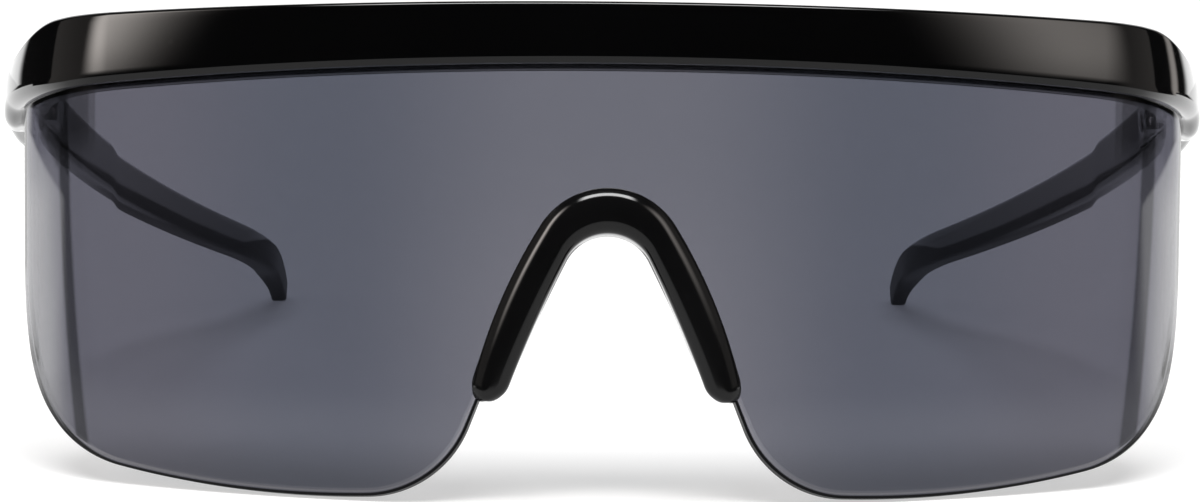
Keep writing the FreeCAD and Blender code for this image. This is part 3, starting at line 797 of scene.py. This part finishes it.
def lower_edge():
    """Places along and down the lens of one half of its lower edge, from the notch to the rear end."""
    lens = sizes("lens")
    leg_turn = lens.notch_leg - QUARTER_TURN
    top = lower_arc((0, lens.notch_drop), -lens.notch_radius, 0, leg_turn)
    lobe_start = (lens.lobe_middle + lens.lobe_inner_radius * math.sin(leg_turn),
                  lens.drop - lens.lobe_inner_radius * (1 - math.cos(leg_turn)))
    leg = list(zip(evenly(top[-1][0], lobe_start[0], 24), evenly(top[-1][1], lobe_start[1], 24)))
    lobe = lower_arc(lobe_start, lens.lobe_inner_radius, leg_turn, 0)
    outer_x = plan_point(lens.rear_corner_start, 0, lens.corner_radius).x
    run = outer_x - lens.lobe_middle - lens.lobe_outer_radius * math.sin(lens.lobe_outer_turn)
    bottom_turn = math.asin(run / (lens.lobe_bottom_radius - lens.lobe_outer_radius))
    bottom = lower_arc(lobe[-1], lens.lobe_bottom_radius, 0, bottom_turn, 48)
    outer = lower_arc(bottom[-1], lens.lobe_outer_radius, bottom_turn, lens.lobe_outer_turn, 48)
    seen = top + leg[1:] + lobe[1:] + bottom[1:] + outer[1:]
    places = [(plan_length(turn_across(across)), drop) for across, drop in seen]
    first_turn = math.atan(math.tan(lens.lobe_outer_turn) * math.cos(lens.rear_corner_start))
    last_sine = math.sin(first_turn) + (plan_length(lens.end) - places[-1][0]) / lens.rear_corner_radius
    return places + lower_arc(places[-1], lens.rear_corner_radius, first_turn, math.asin(last_sine))[1:]


def shield_lens():
    """Columns down the lens, each a loop over its front, its lower edge and its back."""
    lens = sizes("lens")
    half = lower_edge()
    edge = [(-along, drop) for along, drop in reversed(half[1:])] + half
    end = plan_length(lens.end)
    rear = lens.bevel - lens.thickness
    inset = []
    for order, (along, drop) in enumerate(edge):
        before = edge[max(order - 1, 0)]
        after = edge[min(order + 1, len(edge) - 1)]
        run = math.dist(before, after)
        inset.append((along + lens.bevel * (after[1] - before[1]) / run,
                      drop - lens.bevel * (after[0] - before[0]) / run))
    inset[0] = (lens.bevel - end, inset[0][1])
    inset[-1] = (end - lens.bevel, inset[-1][1])

    def column(edge_place, inset_place, along, front_offset, rear_offset):
        drops = evenly(-lens.groove_depth, inset_place[1], 28)
        loop = [lens_place(along, drop, front_offset) for drop in drops]
        loop += [lens_place(*edge_place, -lens.bevel), lens_place(*edge_place, rear)]
        return loop + [lens_place(along, drop, rear_offset) for drop in reversed(drops)]

    loops = [column(edge[0], inset[0], -end, -lens.bevel, rear)]
    loops += [column(place, inner, inner[0], 0, -lens.thickness) for place, inner in zip(edge, inset)]
    loops.append(column(edge[-1], inset[-1], end, -lens.bevel, rear))
    return marked(skin("shield_lens", loops))


def marked(mesh):
    """The lens with the marks that its tint follows at each point."""
    lens = sizes("lens")
    reach = lens.front_radius - lens.corner_radius
    middle = Vector((reach * math.sin(lens.corner_start),
                     lens.front_radius - reach * math.cos(lens.corner_start)))
    lower = lower_edge()
    nearest = KDTree(len(lower))
    for order, (along, drop) in enumerate(lower):
        nearest.insert((along, drop, 0), order)
    nearest.balance()
    marks = []
    for vertex in mesh.vertices:
        fall = -vertex.co.z / math.cos(lens.tilt)
        across = abs(vertex.co.x)
        depth = vertex.co.y - fall * math.sin(lens.tilt)
        bend = math.atan2(across, lens.front_radius - depth)
        offset = math.hypot(across, lens.front_radius - depth) - lens.front_radius
        if bend > lens.corner_start:
            bend = math.atan2(across - middle.x, middle.y - depth)
            offset = math.hypot(across - middle.x, middle.y - depth) - lens.corner_radius
        front = float(offset > -lens.thickness / 2)
        # The cut edge carries a painted dark rim, which fades out towards the rear ends
        from_rear = min(max((lens.end - bend) / (lens.end / 4), 0), 1)
        rim = from_rear if -lens.thickness + WELD < offset < -WELD else 0
        edge = nearest.find((plan_length(bend), fall, 0))[2]
        marks.append((math.degrees(bend), fall, front, rim, edge))
    for name, values in zip(LENS_MARKS, zip(*marks)):
        mesh.attributes.new(name, "FLOAT", "POINT").data.foreach_set("value", values)
    return mesh


def arch_half(radius, top_drop, shoulder, leg_radius, bottom_drop, parts):
    """Places across and down of an arch's right half, at parts of its way from the top to its foot."""
    foot_x = radius * math.cos(shoulder)
    foot_drop = top_drop + radius * (1 - math.sin(shoulder))
    last = math.asin(math.sin(shoulder) - (bottom_drop - foot_drop) / leg_radius)
    places = []
    for part in parts:
        if part < ARCH_TOP:
            turn = QUARTER_TURN + (shoulder - QUARTER_TURN) * part / ARCH_TOP
            places.append((radius * math.cos(turn), top_drop + radius * (1 - math.sin(turn))))
        else:
            turn = shoulder + (last - shoulder) * (part - ARCH_TOP) / (1 - ARCH_TOP)
            places.append((foot_x + leg_radius * (math.cos(turn) - math.cos(shoulder)),
                           foot_drop + leg_radius * (math.sin(shoulder) - math.sin(turn))))
    return places


def nose_place(across, drop, offset):
    """A point seen from the front, on a curve in front of the lens by the offset."""
    lens = sizes("lens")
    depth = lens.front_radius - math.sqrt((lens.front_radius + offset) ** 2 - across ** 2)
    return Vector((across, depth, 0)) + lens_down() * drop


def nose_loop(outer, inner, rear_inner, trim, lift):
    """The bridge's section between its outer and its inner arch, round from its outer lip.

    A foot's section is trimmed at both sides and rises towards the back by the lift."""
    lens = sizes("lens")
    nose = sizes("nose")
    way = Vector(inner) - Vector(outer)
    width = way.length - 2 * trim
    way.normalize()
    start = Vector(outer) + way * trim
    outer_round = min(nose.outer_round, width / 2)
    inner_round = min(nose.inner_round, width / 2)
    back = -lens.thickness - nose.lip
    pad = -lens.thickness - nose.pad_depth
    core = max(nose.lip_overlap - trim, 0)
    crest = nose.crest * (1 - nose.foot_fall * (trim / nose.foot_round) ** 2)
    lip_height = nose.lip_share * crest
    section = [(0, 0)]
    for part in evenly(0, 1, 14):
        section.append((outer_round * part, crest - (crest - lip_height) * (1 - part) ** 2))
    section += [(width - inset, crest - fall) for fall, inset in quarter_round(inner_round, 12)]
    section.append((width, -lens.thickness))
    flared = (Vector(rear_inner) - start).dot(way) - trim
    pad_round = min(nose.pad_round, (flared - core) / 2)
    corner = quarter_round(pad_round, 6)
    section += [(flared - inset, pad + rise) for inset, rise in corner]
    section += [(core + inset, pad + rise) for inset, rise in reversed(corner)]
    section += [(core, back), (0, back), (0, -lens.thickness), (core, -lens.thickness), (core, 0)]
    loop = []
    for run, offset in section:
        across, drop = start + way * run
        loop.append(nose_place(across, drop - lift * max(-offset, 0), offset))
    return loop


def nose_bridge():
    """Loops round the bridge, from one foot over the top to the other."""
    nose = sizes("nose")
    leg = nose.leg_drop - nose.outer_drop - nose.outer_radius
    foot = (1 - ARCH_TOP) * nose.foot_round / leg
    parts = evenly(0, ARCH_TOP, 40) + evenly(ARCH_TOP, 1 - foot, 40)[1:]
    trims = [0] * len(parts)
    for inset, left in quarter_round(1, 8)[1:]:
        parts.append(1 - foot * left)
        trims.append(nose.foot_round * inset)
    outer = arch_half(nose.outer_radius, nose.outer_drop, nose.outer_shoulder, nose.outer_leg_radius,
                      nose.leg_drop, parts)
    inner = arch_half(nose.inner_radius, nose.inner_drop, nose.inner_shoulder, nose.inner_leg_radius,
                      nose.leg_drop, parts)
    flared = arch_half(nose.inner_radius + nose.pad_flare, nose.inner_drop - nose.pad_flare,
                       nose.inner_shoulder, nose.inner_leg_radius + nose.pad_flare, nose.leg_drop, parts)
    lifts = [nose.foot_lift * eased(part, nose.lift_start, 1) for part in parts]
    loops = [nose_loop(*places) for places in zip(outer, inner, flared, trims, lifts)]
    other = [[Vector((-place.x, place.y, place.z)) for place in loop] for loop in reversed(loops[1:])]
    return skin("nose_bridge", other + loops)


def round_inset(radius, run):
    """How far a round end is drawn in, at a distance from the end."""
    left = min(max(radius - run, 0), radius)
    return radius - math.sqrt(radius ** 2 - left ** 2)


def temple_path():
    """Middle line of the left temple, with its width and height at each place as shares of its root's."""
    temple = sizes("temple")
    outer_x = brow_side() + temple.overhang
    root_y = brow_end_depth() + temple.gap
    half = temple.thickness / 2
    bow_middle = outer_x - temple.bow_radius
    reach = temple.bow_radius + temple.return_radius
    return_x = bow_middle + reach * math.cos(temple.bow_turn)
    hook_y = root_y + reach * math.sin(temple.bow_turn)
    root_height = temple.root_top - temple.root_bottom
    hook_height = temple.hook_top - temple.hook_bottom
    plan = [run / temple.bow_radius for run, _ in quarter_round(temple.root_taper, 16)]
    plan += evenly(plan[-1], temple.bow_turn, 120)[1:]
    path = [(bow_middle + (temple.bow_radius - half) * math.cos(turn),
             root_y + (temple.bow_radius - half) * math.sin(turn)) for turn in plan]
    path += [(return_x - (temple.return_radius + half) * math.cos(turn),
              hook_y - (temple.return_radius + half) * math.sin(turn))
             for turn in evenly(temple.bow_turn, 0, 50)[1:]]
    places = []
    for across, depth in path:
        share_back = (depth - root_y) / (hook_y - root_y)
        top = temple.root_top + (temple.hook_top - temple.root_top) * share_back
        bottom = temple.root_bottom + (temple.hook_bottom - temple.root_bottom) * share_back
        bottom += temple.root_lift * (1 - eased(depth - root_y, 0, temple.root_lift_run))
        outer_inset = round_inset(temple.root_taper, depth - root_y) * temple.root_corner / temple.root_taper
        inset = round_inset(temple.root_round, depth - root_y)
        places.append((Vector((across - outer_inset / 2, depth, (top + bottom) / 2)),
                       1 - outer_inset / temple.thickness, (top - bottom - 2 * inset) / root_height))
    level = (temple.hook_top + temple.hook_bottom) / 2
    tip_x = places[-1][0].x
    for turn in evenly(0, temple.hook_turn, 20)[1:]:
        lost = temple.tip_taper * eased(turn, 0, temple.hook_turn)
        place = Vector((tip_x - lost / 2, hook_y + temple.hook_radius * math.sin(turn),
                        level - temple.hook_radius * (1 - math.cos(turn))))
        places.append((place, 1 - lost / temple.thickness, hook_height / root_height))
    onward = Vector((0, math.cos(temple.hook_turn), -math.sin(temple.hook_turn)))
    last = places[-1][0]
    tip = hook_height / 2
    for part in evenly(0, QUARTER_TURN, 16)[1:]:
        run = tip * math.sin(part)
        inset = round_inset(temple.edge_round, tip - run)
        tall = max(math.cos(part), temple.tip_flat)
        wide = 1 - (temple.tip_taper + 2 * inset) / temple.thickness
        places.append((last + onward * run, wide, tall * hook_height / root_height))
    return places


def new_tree(name, settings):
    """A Geometry Nodes tree that takes a start, settings and a finish, with each input's identifier."""
    tree = bpy.data.node_groups.new(name, "GeometryNodeTree")
    maker = NodeMaker(tree)
    names = {}
    for title, kind in (("Start", "Geometry"), *settings, ("Finish", "Material")):
        socket = tree.interface.new_socket(name=title, in_out="INPUT", socket_type="NodeSocket" + kind)
        names[title] = socket.identifier
    tree.interface.new_socket(name="Shape", in_out="OUTPUT", socket_type="NodeSocketGeometry")
    given = maker.node("NodeGroupInput").outputs
    return maker, names, {title: Wire(maker, given[title]) for title in names}


def end_tree(maker, shape, finish):
    """Ends a tree with real geometry in its finish."""
    real = maker.add("GeometryNodeRealizeInstances", {"Geometry": shape})
    dressed = maker.add("GeometryNodeSetMaterial", {"Geometry": real, "Material": finish})
    maker.node("NodeGroupOutput", {"Shape": dressed})


def grown(mesh, tree, names, settings):
    """What a tree makes of a mesh, as a plain mesh."""
    obj = linked(mesh.name, mesh)
    modifier = obj.modifiers.new("tree", "NODES")
    modifier.node_group = tree
    for title, value in settings.items():
        modifier[names[title]] = value
    made = evaluated(obj, mesh.name)
    return mesh_from(editable(made), mesh.name)


def sweep_tree():
    """A tree that carries a rounded section along a path, as wide and tall as the path says."""
    maker, names, given = new_tree("temple_sweep", (
        ("Thickness", "Float"), ("Height", "Float"), ("Edge round", "Float"), ("Round steps", "Int")))
    curve = maker.add("GeometryNodeMeshToCurve", {"Mesh": given["Start"]})
    path = maker.add("GeometryNodeSetCurveNormal", {"Curve": curve}, mode="Z_UP")
    for name, kind in (("middle", "Position"), ("side", "Normal"), ("onward", "Tangent")):
        path = maker.keep(path, name, maker.add("GeometryNodeInput" + kind))
    block = maker.add("GeometryNodeCurvePrimitiveQuadrilateral", {
        "Width": given["Thickness"], "Height": given["Height"]})
    fillet = maker.add("GeometryNodeFilletCurve", {
        "Curve": block, "Radius": given["Edge round"], "Count": given["Round steps"]}, mode="POLY")
    section = maker.keep(fillet, "section", maker.add("GeometryNodeInputPosition"))
    tube = maker.add("GeometryNodeCurveToMesh", {"Curve": path, "Profile Curve": section, "Fill Caps": True})
    across, along, _ = maker.split(maker.kept("section"))
    side = maker.kept("side")
    up = maker.vector("CROSS_PRODUCT", {0: side, 1: maker.kept("onward")})
    place = maker.kept("middle")
    for way, run, scale in ((side, across, "wide"), (up, along, "tall")):
        step = maker.vector("SCALE", {"Vector": way, "Scale": run * maker.kept(scale, "FLOAT")})
        place = maker.vector("ADD", {0: place, 1: step})
    placed = maker.add("GeometryNodeSetPosition", {"Geometry": tube, "Position": place})
    end_tree(maker, placed, given["Finish"])
    return maker.tree, names


def temple():
    """The left temple, swept along its path, with the recess for its hinge leaf."""
    size = sizes("temple")
    hinge = sizes("hinge")
    path = temple_path()
    line = bpy.data.meshes.new("temple")
    edges = [(order, order + 1) for order in range(len(path) - 1)]
    line.from_pydata([place for place, _, _ in path], edges, [])
    for name, column in (("wide", 1), ("tall", 2)):
        attribute = line.attributes.new(name, "FLOAT", "POINT")
        attribute.data.foreach_set("value", [place[column] for place in path])
    swept = grown(line, *sweep_tree(), {
        "Thickness": size.thickness, "Height": size.root_top - size.root_bottom,
        "Edge round": size.edge_round, "Round steps": size.round_steps, "Finish": finish_of("frame_black")})
    axis = hinge_axis()
    half_height = hinge.height / 2 + hinge.recess_margin
    recess_end = axis.y + hinge.swing + hinge.leaf_length + hinge.recess_margin
    recess = (Vector((0, 0, axis.z - half_height)),
              Vector((brow_side() - hinge.seat_wall, recess_end, axis.z + half_height)))
    return carved(swept, [recess])


def rivet_tree():
    """A tree that sets a rivet's head on each point, standing the way that the point says."""
    maker, names, given = new_tree("rivet_row", (
        ("Radius", "Float"), ("Height", "Float"), ("Rim", "Float"), ("Sides", "Int")))
    radius = given["Radius"]
    rim = given["Rim"]
    foot = given["Height"] - rim

    def cone(top_radius, depth):
        return maker.add("GeometryNodeMeshCone", {
            "Vertices": given["Sides"], "Radius Top": top_radius, "Radius Bottom": radius, "Depth": depth},
            fill_type="NGON")

    drum = cone(radius, foot)
    lift = maker.add("ShaderNodeCombineXYZ", {"Z": foot})
    cap = maker.add("GeometryNodeTransform", {"Geometry": cone(radius - rim, rim), "Translation": lift})
    head = maker.node("GeometryNodeJoinGeometry")
    for part in (drum, cap):
        maker.feed(head.inputs[0], part)
    turn = maker.add("FunctionNodeAlignRotationToVector", {"Vector": maker.kept("way")}, axis="Z")
    heads = maker.add("GeometryNodeInstanceOnPoints", {
        "Points": given["Start"], "Instance": Wire(maker, head.outputs[0]), "Rotation": turn})
    end_tree(maker, heads, given["Finish"])
    return maker.tree, names


def rivet_row(name, places, tree, names):
    """Rivet heads at places as worn, each looking towards the middle of the glasses."""
    hinge = sizes("hinge")
    points = bpy.data.meshes.new(name)
    points.from_pydata(places, [], [])
    ways = points.attributes.new("way", "FLOAT_VECTOR", "POINT")
    ways.data.foreach_set("vector", [part for place in places for part in (math.copysign(1, -place.x), 0, 0)])
    return grown(points, tree, names, {
        "Radius": hinge.rivet_radius, "Height": hinge.rivet_height, "Rim": hinge.rivet_round,
        "Sides": hinge.rivet_sides, "Finish": finish_of("hinge_steel")})


def rivet_places(side):
    """Places of the two rivets on the brow bar and the two on the temple, on one side."""
    hinge = sizes("hinge")
    axis = hinge_axis()
    face = brow_side() - hinge.seat_wall - hinge.leaf
    seat = brow_end_depth() - hinge.seat_length + hinge.end_margin
    front_y = (seat + axis.y - hinge.swing) / 2
    temple_y = axis.y + hinge.swing + hinge.leaf_length / 2
    front = [Vector((side * face, front_y, axis.z + step * hinge.front_spacing / 2)) for step in (-1, 1)]
    rear = [Vector((side * face, temple_y + step * hinge.temple_spacing / 2, axis.z)) for step in (-1, 1)]
    return front, rear


def cad_copy(node):
    """A welded copy of a CAD node's mesh."""
    bm = editable(frame["nodes"][node].data)
    bmesh.ops.remove_doubles(bm, verts=bm.verts[:], dist=WELD)
    mesh = bpy.data.meshes.new(node)
    bm.to_mesh(mesh)
    bm.free()
    return mesh


# Stage

def studio_light():
    """A white wall behind, a soft box at each side and one overhead, in an otherwise dark studio.

    Lamps are placed by how many degrees they stand aside from the camera's way and over the floor."""
    stage = sizes("stage")
    world = bpy.data.worlds.new("studio")
    bpy.context.scene.world = world
    world.use_nodes = True
    maker = NodeMaker(world.node_tree)
    across, back, up = maker.split(maker.add("ShaderNodeTexCoord", output="Generated"))
    right = across.maths("GREATER_THAN", across, 0)
    across = across.size()
    aside = across.maths("ARCTAN2", across, back * -1).degrees()
    height = up.maths("ARCSINE", up).degrees()
    wall = aside.between(122, 130) * (1 - height.between(35, 60))
    overhead = up.between(0.80, 0.86) * (1 - across.between(0.30, 0.44)) * back.between(-0.46, -0.38)
    top = overhead * (1 - back.between(-0.06, 0.02))
    arc = overhead * (1 - back.between(-0.22, -0.16))
    left_box = aside.between(44, 64) ** 2 * (1 - aside.between(64, 74)) * (1 - right)
    right_box = aside.between(34, 57) ** 2 * (1 - aside.between(57, 79)) * right
    boxes = left_box * stage.left_light + right_box * stage.right_light
    spill = aside.between(58, 72) * (1 - (aside + right).between(94, 95.5)) * height.between(0, 4)
    strip = aside.between(107, 111) * (1 - aside.between(113, 117)) * right
    lamps = boxes * height.between(10, 26) + spill * stage.spill_light
    lamps = lamps * (1 - height.between(36, 54)) + strip * (1 - height.between(12, 30))
    glossy = maker.ray("Is Glossy Ray")
    mirrored_light = wall * stage.wall_light + arc * stage.arc_light
    room = stage.ceiling + mirrored_light * glossy + top * stage.top_light * (1 - glossy)
    seen = maker.ray("Is Camera Ray").highest(maker.ray("Is Transmission Ray"))
    plain = maker.add("ShaderNodeBackground", {"Color": WHITE, "Strength": room * (1 - seen) + seen})
    warm = maker.add("ShaderNodeBackground", {"Color": stage.lamp_colour, "Strength": lamps * (1 - seen)})
    both = maker.add("ShaderNodeAddShader", {0: plain, 1: warm})
    maker.node("ShaderNodeOutputWorld", {"Surface": both})


def floor_finish():
    """White paper with a soft shadow. Gloss mirrors only its lit parts, not the whole floor: it sees a
    painted glow with painted shade under the glasses.
    """
    stage = sizes("stage")
    material, maker, place = new_material("floor_paper")
    tooth = maker.noise(place, 900, 3, 0.6)
    paper = maker.add("ShaderNodeBsdfDiffuse", {
        "Color": maker.blend(tooth, (0.93, 0.93, 0.93), (0.95, 0.95, 0.95))})
    across, depth, _ = maker.split(place)
    aside = across.size()
    # What gloss sees of the floor is painted light: a glow by the glasses, at the wall's foot and in front,
    # dimmed by painted shade under the glasses between the temples
    sheet = depth.between(-0.10, -0.02) * (1 - (aside * 0.72 + depth).between(0.74, 0.84))
    wall_foot = (depth - aside * 0.73).between(-0.1, 0.1)
    front = depth.between(-0.6, -0.12) * (1 - aside.between(0.12, 0.3))
    under = depth.between(0.03, 0.05) * (1 - depth.between(0.24, 0.28)) * (1 - aside.between(0.078, 0.1))
    lit = sheet.highest(wall_foot).highest(front * 0.4) * (1 - under * 0.78)
    mirror = maker.add("ShaderNodeEmission", {
        "Color": maker.blend(lit, (0.02, 0.02, 0.02), WHITE), "Strength": stage.floor_mirror})
    glow = maker.add("ShaderNodeEmission", {"Color": WHITE, "Strength": stage.floor_glow})
    through = maker.ray("Is Transmission Ray")
    seen = through.highest(maker.ray("Is Camera Ray"))
    shaded = maker.mix(seen * (1 - stage.floor_shade), paper, glow)
    surface(maker, maker.mix((1 - through) * maker.ray("Is Glossy Ray"), shaded, mirror))
    return material


def floor():
    reach = sizes("stage").floor_size
    front = -sizes("stage").floor_front
    mesh = bpy.data.meshes.new("floor")
    corners = [(-reach, front, 0), (reach, front, 0), (reach, reach, 0), (-reach, reach, 0)]
    mesh.from_pydata(corners, [], [(0, 1, 2, 3)])
    mesh.materials.append(floor_finish())
    linked("floor", mesh)


def camera():
    stage = sizes("stage")
    data = bpy.data.cameras.new("camera")
    data.lens = stage.focal_length
    data.sensor_width = 36.0
    data.clip_start = 0.01
    data.clip_end = 100.0
    obj = linked("camera", data)
    level = Matrix.Rotation(-stage.camera_yaw, 4, "Z")
    level = level @ Matrix.Rotation(QUARTER_TURN - stage.camera_pitch, 4, "X")
    roll = Matrix.Rotation(stage.camera_roll, 4, "Z")
    obj.matrix_world = Matrix.Translation(stage.camera_place) @ level @ roll
    bpy.context.scene.camera = obj


# Operators, one for each piece or group of like pieces

class EYEWEAR_OT_brow_bar(bpy.types.Operator):
    """Make the brow bar with its groove and hinge seats"""
    bl_idname = "eyewear.brow_bar"
    bl_label = "Brow bar"

    def execute(self, context):
        mesh = softened(brow_bar(), sizes("brow").soft_edge)
        finished("brow", mesh, "front", "frame_black", ["brow_bar"])
        return {"FINISHED"}


class EYEWEAR_OT_lens(bpy.types.Operator):
    """Make the wrapped lens"""
    bl_idname = "eyewear.lens"
    bl_label = "Lens"

    def execute(self, context):
        finished("lens", shield_lens(), "front", "smoke_lens", ["shield_lens"])
        return {"FINISHED"}


class EYEWEAR_OT_nose_bridge(bpy.types.Operator):
    """Make the nose bridge with its lips and pads"""
    bl_idname = "eyewear.nose_bridge"
    bl_label = "Nose bridge"

    def execute(self, context):
        mesh = softened(nose_bridge(), sizes("nose").soft_edge)
        finished("bridge", mesh, "front", "nose_black", ["nose_bridge"])
        return {"FINISHED"}


class EYEWEAR_OT_temples(bpy.types.Operator):
    """Make both temples"""
    bl_idname = "eyewear.temples"
    bl_label = "Temples"

    def execute(self, context):
        left = temple()
        for side, mesh in (("left", left), ("right", mirrored(left, "temple_right"))):
            mesh = softened(mesh, sizes("temple").soft_edge)
            finished("arm_" + side, mesh, side + "_arm", "frame_black", ["temple_" + side])
        return {"FINISHED"}


class EYEWEAR_OT_hinges(bpy.types.Operator):
    """Make the hinge leaves and screws"""
    bl_idname = "eyewear.hinges"
    bl_label = "Hinges"

    def execute(self, context):
        for side in ("left", "right"):
            bodies = {"front_leaf_": "front", "temple_leaf_": side + "_arm", "hinge_screw_": "front"}
            for kind, body in bodies.items():
                node = kind + side
                mesh = softened(cad_copy(node), sizes("hinge").soft_edge)
                finished("steel_" + node, mesh, body, "hinge_steel", [node], worn=False)
        return {"FINISHED"}


class EYEWEAR_OT_rivets(bpy.types.Operator):
    """Make the rivets of the hinge leaves"""
    bl_idname = "eyewear.rivets"
    bl_label = "Rivets"

    def execute(self, context):
        tree, names = rivet_tree()
        left_front, left_rear = rivet_places(1)
        right_front, right_rear = rivet_places(-1)
        rows = (("front", left_front + right_front, "front",
                 ["front_leaf_rivets_left", "front_leaf_rivets_right"]),
                ("left", left_rear, "left_arm", ["temple_leaf_rivets_left"]),
                ("right", right_rear, "right_arm", ["temple_leaf_rivets_right"]))
        for row, places, body, nodes in rows:
            name = "rivets_" + row
            finished(name, rivet_row(name, places, tree, names), body, "hinge_steel", nodes)
        return {"FINISHED"}


class EYEWEAR_OT_stage(bpy.types.Operator):
    """Make the floor, the studio light and the camera"""
    bl_idname = "eyewear.stage"
    bl_label = "Stage"

    def execute(self, context):
        context.scene.view_settings.view_transform = "Standard"
        studio_light()
        floor()
        camera()
        return {"FINISHED"}


OPERATORS = (EYEWEAR_OT_brow_bar, EYEWEAR_OT_lens, EYEWEAR_OT_nose_bridge, EYEWEAR_OT_temples,
             EYEWEAR_OT_hinges, EYEWEAR_OT_rivets, EYEWEAR_OT_stage)


class EYEWEAR_PT_panel(bpy.types.Panel):
    """The sunglasses' pieces and their sizes."""
    bl_label = "Shield sunglasses"
    bl_space_type = "VIEW_3D"
    bl_region_type = "UI"
    bl_category = "Eyewear"

    def draw(self, context):
        for operator in OPERATORS:
            self.layout.operator(operator.bl_idname)
        for name, group in GROUPS.items():
            box = self.layout.box()
            box.label(text=group.__name__)
            for prop in group.__annotations__:
                box.prop(getattr(context.scene, name), prop)


CLASSES = (*GROUPS.values(), *OPERATORS, EYEWEAR_PT_panel)


def register():
    for item in CLASSES:
        bpy.utils.register_class(item)
    for name, group in GROUPS.items():
        setattr(bpy.types.Scene, name, PointerProperty(type=group))


def unregister():
    for name in GROUPS:
        delattr(bpy.types.Scene, name)
    for item in reversed(CLASSES):
        bpy.utils.unregister_class(item)


def main():
    register()
    for operator in OPERATORS:
        group, name = operator.bl_idname.split(".")
        getattr(getattr(bpy.ops, group), name)()


if __name__ == "__main__":
    main()
